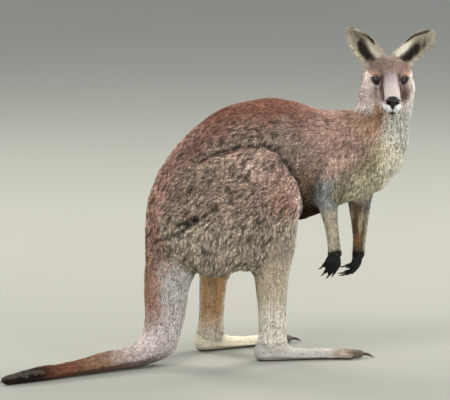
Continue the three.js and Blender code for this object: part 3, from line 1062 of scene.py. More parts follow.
        streaks = noise(stretched(s.points, (0.1, 0.0, 1.0), 5), 6 * MM, 26)
        stripe = ramp(26, 36, f) * ramp(99, 90, f) * ramp(-52, -43, u) * ramp(12, 2, u)
        eye = self.eye
        rel = np.stack([f, side, u], 1) - np.array([eye.forward, eye.outward, eye.height])
        b, up, out = rel @ eye.inner, rel @ eye.brow, rel @ eye.look
        oval = np.hypot(b / (eye.wide + np.where(b < 0, 3.4, 2.4)), up / (eye.tall + 2.3))
        lash = np.hypot((b + 6.5) / 20.0, (up - eye.tall + 0.8) / 3.6)
        return self.layered(
            "cheek",
            ("cheek_low", ramp(0.0, 0.5, streaks) * 0.3),
            ("cheek_low", spot(0, 40, -54, 30, 14, 12) * 0.6),
            # under the eye; the extra darkness on the far (left) side, and the two far-side patches that follow, are
            # painted shade
            ("under_eye", spot(12, 35, -40, 28, 12, 18) * (0.7 + 0.25 * far)),
            ("stripe", spot(16, 34, -38, 30, 13, 28) * far),
            ("under_eye", spot(6, 42, -28, 34, 17, 36) * far * 0.7),
            ("forehead", ramp(2, 14, u - 0.25 * (side - 34)) * ramp(58, 44, f)),
            ("forehead", ramp(-40, -60, f) * ramp(-70, -40, u)),
            ("crown", ramp(30, 46, u) * ramp(20, -4, f) * 0.6),
            ("bridge", ramp(38, 52, f) * ramp(26, 19, side) * ramp(-36, -24, u) * 0.9),
            ("muzzle", ramp(50, 80, f) * ramp(0.985, 0.90, turned)),
            ("lid_light", spot(2, 50, -7, 16, 5, 9) * 0.7),
            ("under_eye", spot(20, 35, -22, 18, 11, 8.5) * 0.9),
            ("brow", spot(10, 42, 14.0, 24, 16, 6.0) * 0.85),
            # painted shade before the eye's inner corner
            ("socket", spot(38, 20, 9, 11, 4.5, 11) * 0.75),
            ("under_eye", ramp(0.88, 0.97, turned) * stripe * 0.8),
            ("stripe", np.clip(bell(0.92, 0.08, turned) * stripe * 1.35, 0, 1) * ramp(-50, -36, u)),
            ("stripe", np.clip(spot(34, 22.0, -6, 17, 5.2, 20) * 1.6, 0, 1)),
            ("lid_light", spot(28, 25.5, -6, 9, 3.4, 8) * 0.75),
            # painted shade in the hollow round the eye opening
            ("socket", ramp(1.9, 1.2, oval) * (out > -6) * 0.45),
            ("lid", ramp(1.25, 1.02, oval) * (out > -4)),
            ("lid", ramp(1.3, 0.8, lash) * (out > -6) * (0.3 + 0.67 * ramp(-26, -12, b))),
            ("lips", ramp(66, 80, f) * ramp(-44, -50, u) * ramp(-75, -70, u)),
            ("muzzle", ramp(97, 90, f) * ramp(60, 76, f) * bell(-46, 5, u) * 0.6),
            ("chin", ramp(-68, -72, u) * ramp(40, 62, f) * 0.9),
            ("mouth", ramp(-63, -68, u) * ramp(86, 93, f) * ramp(10, 5, side)),
            ("mouth", ramp(94, 100, f) * ramp(2.8, 1.4, side) * ramp(-50, -55, u)),
            ("throat", ramp(-56, -68, u) * ramp(50, 20, f) * 0.9),
        )

    def on_ear(self, s: Site, side: float) -> Array:
        """Grey inside with a dark hollow, a white tuft at its root, pale rim and tan back.

        Args:
            s: Places on the ear.
            side: 1 for the left ear, -1 for the right one.

        Returns:
            Their colours.
        """
        facing = s.normals @ self.head.forward
        across, up, _ = self.head.on_ear(s.head, side)
        streak = 1 + 0.5 * noise(stretched(s.points, (0.0, 0.0, 1.0), 3), 5 * MM, 25)
        hollow = bell(-0.02 - 0.12 * up, 0.46, across) * bell(0.24, 0.40, up)
        tuft = bell(0.56, 0.25, across) * bell(0.12, 0.24, up)
        lower_rim = ramp(-0.62, -0.85, across) * ramp(-0.95, -0.6, facing)
        inner = 0.84 - 0.43 * ramp(0.50, 0.88, up)
        if side < 0:
            inner = 0.72 - 0.14 * ramp(0.42, 0.78, up) - 0.62 * ramp(0.76, 1.0, up)
        line = bell(0.0, 0.11, across - inner) * ramp(0.22, 0.34, up) * ramp(-0.3, 0.1, facing)
        return self.layered(
            "ear",
            ("ear_pale", ramp(-0.35, -0.6, across) * ramp(0.5, 0.2, up) * 0.7),
            ("ear_line", np.clip(hollow * 1.5 * streak, 0, 0.8)),
            ("ear_hollow", np.clip(hollow * 2.8 * streak - 0.85, 0, 1)),
            ("ear_hollow", bell(0.1, 0.3, across) * bell(-0.06, 0.12, up)),
            ("ear_tuft", np.clip(tuft * 3.2 * streak, 0, 1)),
            ("brow", ramp(0.76, 0.95, across) * ramp(0.36, 0.18, up) * 0.9),
            ("ear_back", ramp(0.1, -0.3, facing)),
            ("ear_rim", np.maximum(ramp(0.45, 0.2, np.abs(facing)), lower_rim) * 0.9),
            ("ear_line", np.clip(line * 1.5 * streak, 0, 0.95)),
        )

    def on_thigh(self, s: Site, side: float) -> Array:
        """Grey-tan with a paler, warmer front and top, partly a painted highlight, rust above the knee, grey below,
        and partly painted shade on the side that faces the body.

        Args:
            s: Places on the thigh.
            side: 1 for the left thigh, -1 for the right one.

        Returns:
            Their colours.
        """
        (x, _, z), n = s.mm, s.normals
        return self.layered(
            "thigh",
            # paler to the front and top: partly the coat's own colour, partly a painted highlight on the upward and
            # forward faces
            ("thigh_front", ramp(0.1, 0.8, n[:, 0] + 0.5 * n[:, 2])),
            ("knee", bell(150, 34, x) * bell(405, 60, z) * 0.7),
            ("thigh_low", ramp(400, 330, z)),
            ("rump", ramp(-0.3, -0.9, n[:, 0]) * 0.8),
            ("shin_low", ramp(0.6, 0.95, n[:, 0]) * ramp(470, 430, z) * 0.4),
            # browner on the inner side: partly the belly's colour, partly painted shade between thigh and body
            ("belly", ramp(0.0, -0.6, n[:, 1] * side) * 0.7),
        )

    def on_shank(self, s: Site, side: float) -> Array:
        """Cream grey, paler to the heel, with ochre down the inner face; the left shank is painted paler than the
        right, as painted light.

        Args:
            s: Places on the shank.
            side: 1 for the left shank, -1 for the right one.

        Returns:
            Their colours.
        """
        z, n = s.mm[2], s.normals
        inside = ramp(0.35, 0.85, -n[:, 1] * side)
        grey = ramp(175, 275, z + 16 * noise(s.points, 14 * MM, 30))
        streak = 0.85 + 0.4 * noise(stretched(s.points, (0.1, 0.0, 1.0), 7), 9 * MM, 27)
        brown = bell(-0.15, 0.30, n[:, 0]) * inside * ramp(70, 130, z)
        rear = ramp(-0.3, -0.85, n[:, 0]) * ramp(170, 260, z)
        ring = ramp(205, 235, z) * ramp(-0.3, 0.4, -n[:, 1] * side) * 0.85
        return self.layered(
            "shin",
            ("shin_low", ramp(200, 100, z)),
            # the left (far) shank has less grey and more cream low down than the right one: painted light on the far
            # leg
            ("thigh_low", grey * (0.9 - 0.6 * inside) * (0.25 if side > 0 else 1.0)),
            ("shin_low", ramp(0.6, 0.92, n[:, 0]) * 0.55),
            ("chest", 0.5 * (side > 0) * ramp(240, 150, z)),
            ("ochre", np.clip(inside * ramp(30, 120, z) * streak, 0, 1) * 0.7),
            ("arm_inside", brown * streak * 0.4),
            ("ochre", np.maximum(rear * 0.35, ring)),
        )

    def on_foot(self, s: Site, side: float) -> Array:
        """Whitish, with dark brown-grey toes and a dark sole; the left foot is painted paler than the right, as
        painted light.

        Args:
            s: Places on the foot.
            side: 1 for the left foot, -1 for the right one.

        Returns:
            Their colours.
        """
        z, t = s.mm[2], s.way("foot_left" if side > 0 else "foot_right")
        patchy = noise(s.points, 16 * MM, 21) * 0.10
        return self.layered(
            "foot",
            # the left (far) foot is painted paler than the right one, as painted light
            ("chest", 0.85 * (side > 0)),
            ("toes", ramp(0.62, 0.90, t + patchy) * 0.9),
            ("sole", ramp(0.86, 1.0, t + patchy) * 0.8),
            ("sole", np.maximum(ramp(-0.35, -0.8, s.normals[:, 2]), ramp(8, 3, z) * 0.8)),
        )

    def on_tail(self, s: Site, _: float) -> Array:
        """Red-brown behind, grey sides, pale bend, then brown to black at the tip, with painted shade beneath.

        Args:
            s: Places on the tail.

        Returns:
            Their colours.
        """
        t, n = s.way("tail"), s.normals
        rear = ramp(0.18, -0.62, n[:, 0] + 0.45 * noise(s.points, 9 * MM, 24))
        return self.layered(
            "tail_side",
            ("tail_bend", ramp(0.18, 0.42, t)),
            ("tail_back", rear * ramp(0.44, 0.18, t)),
            ("tail_brown", ramp(0.42, 0.66, t + 0.03 * noise(s.points, 12 * MM, 24))),
            ("tail_rust", ramp(0.62, 0.80, t)),
            # painted shade beneath the tail where it faces the floor
            ("tail_under", ramp(0.0, -0.55, n[:, 2]) * ramp(0.34, 0.44, t) * 0.85),
            ("tail_black", ramp(0.80, 0.94, t)),
        )

    def on_upper_arm(self, s: Site, side: float) -> Array:
        """Bluish grey outside, paler to the chest, with painted shade on its back, which faces the body.

        Args:
            s: Places on the upper arm.
            side: 1 for the left arm, -1 for the right one.

        Returns:
            Their colours.
        """
        z, n = s.mm[2], s.normals
        return self.layered(
            "arm",
            ("saddle", ramp(440, 500, z + 10 * noise(s.points, 12 * MM, 28)) * 0.95),
            ("side", ramp(0.05, 0.7, n[:, 0]) * 0.85),
            # painted shade on the back of the arm, which faces the body
            ("dark_brown_and_shade", ramp(-0.45, -0.8, n[:, 0]) * 0.7),
            ("chest", ramp(0.2, 0.9, -n[:, 1] * side) * 0.4),
        )

    def on_forearm(self, s: Site, side: float) -> Array:
        """Pale grey outside; inside a dark stripe between tan edges, golden near the wrist.

        Args:
            s: Places on the forearm.
            side: 1 for the left arm, -1 for the right one.

        Returns:
            Their colours.
        """
        t, n = s.way("forearm_left" if side > 0 else "forearm_right"), s.normals
        inside = ramp(0.1, 0.6, -n[:, 1] * side)
        bands = noise(stretched(s.points, (0.1, 0.0, 1.0), 9), 6 * MM, 31)
        gold = inside * bell(0.76, 0.10, t) * ramp(0.45, -0.35, n[:, 0] + 0.5 * bands)
        return self.layered(
            "arm",
            ("forearm", ramp(0.0, 0.25, t)),
            ("arm_inside", inside * ramp(-0.40, 0.10, bands) * ramp(0.75, 0.3, n[:, 0])),
            ("ochre", inside * ramp(-0.1, -0.45, bands) * 0.12),
            ("wrist", gold * 0.9),
            ("black", ramp(0.93, 1.0, t + noise(s.points, 8 * MM, 32) * 0.03)),
        )

    def on_hand(self, s: Site, _: float) -> Array:
        """Black."""
        return np.broadcast_to(self.tone("black"), (len(s.points), 3))


# ---------------------------------------------------------------- finishes


@dataclass(frozen=True)
class HairFinish:
    """Dry guard hair over dense underfur: matt, with a soft pale sheen where it is seen edge-on."""

    name: str = "dry_guard_hair"
    roughness: float = 0.72
    gloss: float = 0.25
    sheen: float = 0.27
    sheen_spread: float = 0.45
    sheen_gain: float = 2.4  # how much paler than the hair the sheen is
    sheen_palest: str = "#f2e8dc"
    strand: float = 1.4  # width of the light and dark specks, in millimetres
    contrast: float = 0.22
    bump: float = 0.0
    relief: float = 0.6 * MM

    def make(self) -> bpy.types.Material:
        """Builds the material from the colour attribute with fine light and dark specks.

        Returns:
            The material.
        """
        material, tree = blank_material(self.name)
        place = add_node(tree, "ShaderNodeTexCoord", {}, {}).outputs["Object"]
        colour = add_node(tree, "ShaderNodeAttribute", {"attribute_name": "coat_colour"}, {}).outputs["Color"]
        scale = {"Scale": 1000 / self.strand / 2, "Detail": 2.0}
        specks = add_node(tree, "ShaderNodeTexNoise", scale, {"Vector": place}).outputs["Fac"]
        span = {"From Min": 0.3, "From Max": 0.7, "To Min": 1 - self.contrast, "To Max": 1 + self.contrast}
        spread = add_node(tree, "ShaderNodeMapRange", span, {"Value": specks}).outputs["Result"]
        shade = add_node(tree, "ShaderNodeVectorMath", {"operation": "SCALE"}, {0: colour, "Scale": spread})
        gain = {"operation": "SCALE", "Scale": self.sheen_gain}
        bright = add_node(tree, "ShaderNodeVectorMath", gain, {0: colour})
        limit = {"operation": "MINIMUM", 1: linear(self.sheen_palest)}
        gleam = add_node(tree, "ShaderNodeVectorMath", limit, {0: bright.outputs["Vector"]})
        looks = {
            "Roughness": self.roughness,
            "Specular IOR Level": self.gloss,
            "Sheen Weight": self.sheen,
            "Sheen Roughness": self.sheen_spread,
        }
        links = {"Base Color": shade.outputs["Vector"], "Sheen Tint": gleam.outputs["Vector"]}
        if self.bump > 0:
            height = {"Strength": self.bump, "Distance": self.relief}
            links["Normal"] = add_node(tree, "ShaderNodeBump", height, {"Height": specks}).outputs["Normal"]
        shader = add_node(tree, "ShaderNodeBsdfPrincipled", looks, links)
        add_node(tree, "ShaderNodeOutputMaterial", {}, {"Surface": shader.outputs["BSDF"]})
        return material


@dataclass(frozen=True)
class WetEye:
    """A living eye: dark brown iris under a clear wet cornea, so nearly black with one sharp glint."""

    name: str = "wet_cornea_over_brown_iris"
    roughness: float = 0.06
    ior: float = 1.376  # the cornea's
    fibres: float = 1400.0  # scale of the iris's fibres

    def make(self) -> bpy.types.Material:
        """Builds the material; the iris rings come from the colour attribute.

        Returns:
            The material.
        """
        material, tree = blank_material(self.name)
        place = add_node(tree, "ShaderNodeTexCoord", {}, {}).outputs["Object"]
        colour = add_node(tree, "ShaderNodeAttribute", {"attribute_name": "coat_colour"}, {}).outputs["Color"]
        fibres = add_node(tree, "ShaderNodeTexNoise", {"Scale": self.fibres, "Detail": 3.0}, {"Vector": place})
        spread = add_node(tree, "ShaderNodeMapRange", {"To Min": 0.6, "To Max": 1.4}, {"Value": fibres.outputs["Fac"]})
        links = {0: colour, "Scale": spread.outputs["Result"]}
        shade = add_node(tree, "ShaderNodeVectorMath", {"operation": "SCALE"}, links).outputs["Vector"]
        looks = {"Roughness": self.roughness, "IOR": self.ior}
        shader = add_node(tree, "ShaderNodeBsdfPrincipled", looks, {"Base Color": shade})
        add_node(tree, "ShaderNodeOutputMaterial", {}, {"Surface": shader.outputs["BSDF"]})
        return material


@dataclass(frozen=True)
class SolidFinish:
    """A bare surface of one colour with fine grain: horn of the claws or leather of the nose."""

    name: str
    dark: str
    light: str
    grain: float  # size of the grain, in millimetres
    roughness: float
    bump: float
    coat: float
    gloss: float = 0.28
    coat_roughness: float = 0.15
    relief: float = 0.3 * MM

    def make(self) -> bpy.types.Material:
        """Builds the material: grain mixes the two colours, and roughens and embosses the surface.

        Returns:
            The material.
        """
        material, tree = blank_material(self.name)
        place = add_node(tree, "ShaderNodeTexCoord", {}, {}).outputs["Object"]
        cell = {"Scale": 1000 / self.grain, "feature": "SMOOTH_F1"}
        cells = add_node(tree, "ShaderNodeTexVoronoi", cell, {"Vector": place}).outputs["Distance"]
        cloud = {"Scale": 260 / self.grain, "Detail": 3.0}
        mottle = add_node(tree, "ShaderNodeTexNoise", cloud, {"Vector": place}).outputs["Fac"]
        tones = {"data_type": "RGBA", 6: (*linear(self.dark), 1.0), 7: (*linear(self.light), 1.0)}
        tone = add_node(tree, "ShaderNodeMix", tones, {0: mottle}).outputs[2]
        span = {"To Min": self.roughness - 0.08, "To Max": self.roughness + 0.12}
        rough = add_node(tree, "ShaderNodeMapRange", span, {"Value": mottle}).outputs["Result"]
        height = {"Strength": self.bump, "Distance": self.relief}
        relief = add_node(tree, "ShaderNodeBump", height, {"Height": cells}).outputs["Normal"]
        looks = {
            "Coat Weight": self.coat,
            "Coat Roughness": self.coat_roughness,
            "Specular IOR Level": self.gloss,
        }
        links = {"Base Color": tone, "Roughness": rough, "Normal": relief}
        shader = add_node(tree, "ShaderNodeBsdfPrincipled", looks, links)
        add_node(tree, "ShaderNodeOutputMaterial", {}, {"Surface": shader.outputs["BSDF"]})
        return material


HORN = SolidFinish("keratin_claw_horn", "#1b1715", "#4a3f36", 1.1, 0.34, 0.25, 0.3)
NOSE_LEATHER = SolidFinish("moist_nose_leather", "#070607", "#211a19", 0.9, 0.5, 0.6, 0.06)


# ---------------------------------------------------------------- skin


@dataclass
class Eye:
    """One eyeball with its lids' opening, in head millimetres."""

    side: float
    radius: float = 12.2
    forward: float = 11.0
    outward: float = 27.8
    height: float = -2.2
    look_forward: float = 0.76
    look_up: float = 0.08
    wide: float = 11.4
    tall: float = 6.8

    @property
    def centre(self) -> Array:
        """The middle of the ball."""
        return np.array([self.forward, self.side * self.outward, self.height])

    @property
    def look(self) -> Array:
        """Where it looks, as a unit vector in head axes."""
        out = math.sqrt(1 - self.look_forward**2 - self.look_up**2)
        return np.array([self.look_forward, self.side * out, self.look_up])

    @property
    def inner(self) -> Array:
        """The direction across the opening to the corner nearest the nose, a little up.

        Returns:
            A unit vector in head axes.
        """
        across = np.array([self.look[1] * self.side, -self.look[0] * self.side, 0.10])
        across = across - self.look * (across @ self.look)
        return across / np.linalg.norm(across)

    @property
    def brow(self) -> Array:
        """The direction across the opening to the upper lid."""
        up = np.cross(self.inner, self.look) * self.side
        return up if up[2] > 0 else -up

    def lids(self, local: Array, v: Array) -> Array:
        """Shapes the lids round the ball and cuts the opening between them.

        Args:
            local: Lattice points in head millimetres.
            v: Their distances to the head's surface.

        Returns:
            The new distances.
        """
        rel = local - self.centre
        out = np.linalg.norm(rel, axis=-1)
        a, b, c = rel @ self.look, rel @ self.inner, rel @ self.brow
        # the socket's skin is drawn in a little all round the ball
        v = carved(v, egg(local, tuple(self.centre + self.look * 9.0), (15.5, 15.5, 15.5)), 4.0)
        # lids: a shell over the ball, thicker at its rim
        v = joined(v, out - (self.radius + 1.7), 2.2)
        # almond opening: an ellipse that narrows to the inner corner
        narrow = np.where(b > 0, 1 + 0.18 * (b / self.wide) ** 2, 1.0)
        oval = (np.hypot(b / self.wide, c * narrow / self.tall) - 1) * self.tall
        v = carved(v, np.maximum(oval, -a), 1.2)
        v = carved(v, out - (self.radius - 0.15), 0.4)
        # fold above the upper lid
        ring = np.hypot(b / (self.wide + 5.5), c / (self.tall + 5.5))
        return v + 0.9 * bell(0, 1.6, np.abs(ring - 1) * 14) * (c > 0) * ramp(-4, 4, a)


@dataclass(frozen=True)
class Neighbours:
    """The corners that each corner of a mesh is joined to by a side of a triangle."""

    ends: Array
    count: Array

    @classmethod
    def of(cls, rows: Array, corners: int) -> "Neighbours":
        """Lists the sides of all triangles in both directions.

        Args:
            rows: Triangles.
            corners: How many corners the mesh has.

        Returns:
            The neighbours.
        """
        ends = np.concatenate([rows[:, [0, 1]], rows[:, [1, 2]], rows[:, [2, 0]]])
        ends = np.concatenate([ends, ends[:, ::-1]])
        return cls(ends, np.maximum(np.bincount(ends[:, 0], minlength=corners)[:, None], 1))

    def pull(self, values: Array) -> Array:
        """The way from each corner's value to the mean of its neighbours' values."""
        total = [np.bincount(self.ends[:, 0], values[self.ends[:, 1], k], len(values)) for k in range(3)]
        return np.stack(total, 1) / self.count - values

    def evened(self, values: Array, steps: int, share: float) -> Array:
        """Moves each corner's value part of the way to the mean of its neighbours', time after time.

        Args:
            values: A row for each corner.
            steps: How many times.
            share: How much of the way.

        Returns:
            The evened values.
        """
        for _ in range(steps):
            values = values + self.pull(values) * share
        return values


@dataclass
class Skin:
    """The one skin over all the flesh: closed, hollowed for the eyes and set in by the coat."""

    anatomy: Anatomy
    eyes: tuple[Eye, Eye]
    step: float = 1.8 * MM
    coarse: float = 2.5 * MM
    fine: float = 1.2 * MM
    crease: float = 8 * MM
    tight: float = 1.8 * MM
    thinned: float = 0.17
    levels: int = 5  # of thinning
    facet_steps: int = 30
    facet_share: float = 0.6
    settle_turns: int = 7
    even_turns: int = 5
    clearance: float = 0.3 * MM  # of the lowest corner over the floor
    ear_tip: Point = (42.0, 4.0, 13.0)  # the right ear's end: its length, then out and down by so much
    points: Array = field(default_factory=lambda: np.zeros((0, 3)))
    rows: Array = field(default_factory=lambda: np.zeros((0, 3), int))
    normals: Array = field(default_factory=lambda: np.zeros((0, 3)))

    def rough(self) -> Surface:
        """Meshes the whole body, with soft creases on the body and tight ones at its ends.

        Returns:
            The surface, in rows of four corner numbers.
        """
        soft = [n for n in FLESH if not n.startswith(("ear", "foot", "hand"))]
        points, quads = together(closed(FLESH, self.step, self.tight), closed(soft, self.coarse, self.crease))
        grid = distance_grid(points - LATTICE_CORNER, quads, self.step, 2 * MM, 2 * MM)
        points, quads = level_surface(grid, 0.0, LATTICE_CORNER)
        return points, outward(points, quads)

    def head_field(self) -> Field:
        """Samples the head and ears finely, eyeballs filled in.

        Returns:
            The head's field.
        """
        ears = ["ear_left", "ear_right"]
        boxes = [np.array(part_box(n)) for n in ["head", *ears]]
        margin = 12 * MM
        box = (np.min([b[0] for b in boxes], 0) - margin, np.max([b[1] for b in boxes], 0) + margin)
        flesh = ["head", "neck", "eye_left", "eye_right"]
        tight = closed([*flesh, *ears], self.fine, self.tight)
        soft = closed([*flesh, "trunk"], self.fine * 2, self.crease)
        return Field.within(together(tight, soft), box, self.fine, 6 * MM)

    def reshape(self, head: Field, centre: Array, radius: float, shape: Callable[[Array, Array], Array]) -> None:
        """Changes the head's field in a cube round a place.

        Args:
            head: The head's field, which is changed.
            centre: The cube's middle, in head millimetres.
            radius: Half the cube's side, in millimetres.
            shape: Gives new distances from the lattice points and their distances, in millimetres.
        """
        window, where = head.window(self.anatomy.head.world(centre), radius * MM)
        old = head.values[window].astype(np.float64) / MM
        head.values[window] = shape(self.anatomy.head.local(where), old) * MM

    def sculpt(self, head: Field) -> None:
        """Cuts the eye openings, raises the lids, and cuts the mouth and the groove over it.

        Args:
            head: The head's field, which is changed.
        """
        for eye in self.eyes:
            self.reshape(head, eye.centre, 26, eye.lids)
        self.reshape(head, np.array([70.0, 0.0, -55.0]), 52, self.mouth)

    def mouth(self, local: Array, v: Array) -> Array:
        """Cuts the mouth and the groove that runs down to it from the nose.

        Args:
            local: Lattice points in head millimetres.
            v: Their distances to the head's surface.

        Returns:
            The new distances.
        """
        f, l, u = local[..., 0], np.abs(local[..., 1]), local[..., 2]
        # mouth: a thin slot along a line that hangs under the lips and rises to its corner
        line = -62.5 - 6.0 * ramp(2, 13, l) * ramp(60, 84, f) + 0.30 * np.clip(92 - f, 0, 60)
        slot = np.maximum(np.maximum(np.abs(u - line) - 0.8, 38 - f), -(v + 3.2))
        v = carved(v, slot, 1.4)
        groove = np.maximum(np.maximum(l - 0.7, np.abs(u + 59) - 6), 92 - f)
        return carved(v, np.maximum(groove, -(v + 2.0)), 1.6)

    def depths(self, site: Site) -> Array:
        """How far under the solids' surface the skin lies, thinning to the face.

        Args:
            site: Places on the skin.

        Returns:
            The depths in metres.
        """
        (x, _, z), t = site.mm, site.way("tail")
        ahead, upward = site.normals[:, 0], site.normals[:, 2]
        f, l, u = site.head.T
        side = np.abs(l)
        on_head, jaw, tail = site.share("head"), site.share("head", "neck"), site.share("tail")
        thigh, leg = site.share("thigh"), site.share("thigh", "shank")
        arm = site.share("forearm", "upper")
        near_eye = ramp(26, 18, np.linalg.norm(np.stack([f - 11, side - 27, u], 1), axis=1))
        depth = site.plan("depth") * (1 - on_head * np.maximum(near_eye, ramp(60, 92, f) * 0.7))
        more = 11 * ramp(392, 428, x) * bell(447, 26, z)  # breast tapers to the belly
        more += 5 * bell(331, 13, x) * bell(641, 16, z)  # corner of nape and back
        more += 15 * thigh * bell(42, 32, x) * ramp(290, 262, z) * ramp(-0.1, -0.6, upward)  # arch over the shank
        more += 2.6 * on_head * ramp(62, 72, f) * ramp(12, 17, side) * ramp(-36, -44, u)  # narrow lips
        more += 16 * leg * bell(200, 28, x) * bell(332, 28, z) * ramp(0.0, 0.6, ahead)  # knee
        more += 9 * tail * bell(-236, 40, x) * bell(72, 32, z) * ramp(0.1, 0.6, upward)  # inside of the tail's bend
        more += 4 * on_head * bell(41, 11, side) * bell(49, 12, u) * ramp(-18, 2, f)  # crown, before the ears
        less = 6.5 * bell(318, 45, x) * ramp(0.3, 0.9, upward) * ramp(560, 590, z)  # withers
        less += 5.5 * ramp(430, 445, x) * bell(538, 30, z)  # upper breast
        less += 5 * jaw * ramp(20, -10, f) * bell(-28, 34, u) * ramp(34, 46, side) * ramp(-90, -60, f)  # jowls
        rear = ramp(34, 44, side) * ramp(-60, -30, f) * ramp(20, 0, f)
        less += 6 * jaw * bell(22, 24, u) * rear * (l > 0)  # under the left ear
        less += 2.4 * tail * ramp(0.75, 0.85, t) + 6.5 * tail * ramp(-0.2, -0.8, ahead) * bell(290, 150, z)
        less += 9.0 * tail * bell(-122, 40, x) * bell(34, 30, z) * ramp(0.0, 0.6, ahead)  # outside of the bend
        less += 3.0 * tail * bell(85, 40, z) * ramp(0.2, 0.8, ahead)
        less += 5 * tail * ramp(0.80, 0.90, t) * ramp(-0.1, 0.6, upward)  # on top of the tail's end
        less += 3.2 * arm * ramp(0.1, 0.7, ahead) * ramp(470, 430, z) + 1.2 * site.share("shank")
        return (depth + more - less) * MM

    def furrows(self, site: Site) -> Array:
        """Loose folds of hair over rump and thigh: ridges drawn out down and back, and the lines.

        Args:
            site: Places on the skin.

        Returns:
            How far each place is raised, in metres.
        """
        amount, ridges = site.waves()
        fine = noise(stretched(site.points, DOWN_BACK, 3.0), 6 * MM, 42)
        drawn = np.zeros(len(site.points))
        for fold in FOLDS:
            gap, share = fold.near(site.points)
            drawn -= fold.depth * share * bell(0, fold.width, gap)
        return ((ridges * 1.5 + fine * 0.7) * amount + drawn * site.flank(0.35)) * MM

    def build(self, material: bpy.types.Material, markings: Markings) -> None:
        """Makes the skin.

        Args:
            material: Its finish.
            markings: The coat's pattern, which the skin carries too.
        """
        skin = new_object("skin", *self.rough(), material)
        self.thin(skin)
        self.refine_face(skin)
        points, rows = triangles(skin.data)
        neighbours = Neighbours.of(rows, len(points))
        points = self.rounded(points, neighbours)
        head = self.head_field()
        self.sculpt(head)
        points = self.lowered_ear(self.settle(points, neighbours, head))
        for joint in self.joints():
            points = self.drawn_to(joint, points)
        normals = corner_normals(points, rows)
        site = self.anatomy.site(points, normals)
        points = points + normals * (self.furrows(site) - self.depths(site))[:, None]
        points[:, 2] = np.maximum(points[:, 2], self.clearance)
        skin.data.vertices.foreach_set("co", points.astype(np.float32).ravel())
        skin.data.update()
        self.points, self.rows, self.normals = points, rows, corner_normals(points, rows)
        self.dress(skin, markings)
        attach(skin, "root")
        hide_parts(*FLESH)
        LOG.info("skin: thinned to %d triangles", len(rows))

    def dress(self, skin: bpy.types.Object, markings: Markings) -> None:
        """Paints the skin: the coat's colour, dim under long hair, where the roots are in shade.

        Args:
            skin: The skin.
            markings: The coat's pattern.
        """
        site = self.anatomy.site(self.points, self.normals)
        dim = 0.95 - 0.40 * ramp(4, 14, site.plan("length"))
        paint(skin.data, markings.colour(site) * dim[:, None])

    def thin(self, skin: bpy.types.Object) -> None:
        """Thins the mesh most where long hair hides it, and least on face, ears, hands and feet.

        Args:
            skin: The skin.
        """
        points, _ = triangles(skin.data)
        place = self.anatomy.head.local(points)
        fine = ramp(-60, -30, place[:, 0]) * ramp(100, 85, np.linalg.norm(place, axis=1))
        for name in ("ear_left", "ear_right", "hand_left", "hand_right", "foot_left", "foot_right"):
            low, high = (np.array(c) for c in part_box(name))
            inside = np.all((points > low - 2 * MM) & (points < high + 2 * MM), axis=1)
            fine = np.maximum(fine, inside * 0.6)
        group = skin.vertex_groups.new(name="thin")
        for level in range(1, self.levels + 1):
            chosen = np.flatnonzero(np.round((1 - fine) * self.levels) == level)
            group.add(chosen.tolist(), level / self.levels, "REPLACE")
        modifier = skin.modifiers.new("thin", "DECIMATE")
        modifier.ratio = self.thinned
        modifier.vertex_group = "thin"
        modifier.vertex_group_factor = 8.0
        apply_modifiers(skin)

    def refine_face(self, skin: bpy.types.Object) -> None:
        """Cuts each face round the eyes, nose and mouth into four.

        Args:
            skin: The skin.
        """
        work = bmesh.new()
        work.from_mesh(skin.data)
        local = self.anatomy.head.local(np.array([e.verts[0].co[:] for e in work.edges]))
        places = [(eye.centre, 21) for eye in self.eyes] + [(np.array([92.0, 0, -55]), 32)]
        close = np.min([np.linalg.norm(local - centre, axis=1) - radius for centre, radius in places], axis=0)
        work.edges.ensure_lookup_table()
        edges = [work.edges[int(i)] for i in np.flatnonzero(close < 0)]
        bmesh.ops.subdivide_edges(work, edges=edges, cuts=1, use_grid_fill=True)
        bmesh.ops.triangulate(work, faces=work.faces[:])
        work.to_mesh(skin.data)
        work.free()
        skin.data.polygons.foreach_set("use_smooth", np.ones(len(skin.data.polygons), bool))

    def rounded(self, points: Array, neighbours: Neighbours) -> Array:
        """Takes the solids' flat facets off the body: P' = P - (1 - G)^2 P, where G averages.

        G moves each corner to the mean of its neighbours, by facet_share in each of facet_steps,
        so large forms keep their size and only the facets' corners go.

        Args:
            points: Corner positions.
            neighbours: The mesh's neighbours.

        Returns:
            The moved corners.
        """
        moved = neighbours.evened(points, self.facet_steps, self.facet_share) - points
        moved = moved - neighbours.evened(moved, self.facet_steps, self.facet_share)
        site = self.anatomy.site(points, np.ones_like(points))
        share = site.share("trunk", "thigh", "tail", "neck") + 0.5 * site.share("shank", "upper", "forearm")
        share = share * ramp(14 * MM, 40 * MM, points[:, 2])
        return points + moved * np.clip(share, 0, 1)[:, None]

    def joints(self) -> list[Field]:
        """Samples knees and ankles as the two parts run into one another with a wide fillet.

        Returns:
            A field for each knee and ankle.
        """
        step = 3 * MM
        samples = []
        for side in ("left", "right"):
            for upper, lower, reach, blend in FILLETS:
                names = [f"{upper}_{side}", f"{lower}_{side}"]
                boxes = [np.array(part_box(n)) for n in names]
                low = np.maximum(boxes[0][0], boxes[1][0])
                high = np.minimum(boxes[0][1], boxes[1][1])
                middle, half = (low + high) / 2, np.abs(high - low) / 2 + reach * MM
                box = (middle - half, middle + half)
                joint, other = (Field.within(closed([n], step, step), box, step, 40 * MM) for n in names)
                joint.values = joined(joint.values, other.values, blend * MM).astype(np.float32)
                samples.append(joint)
        return samples

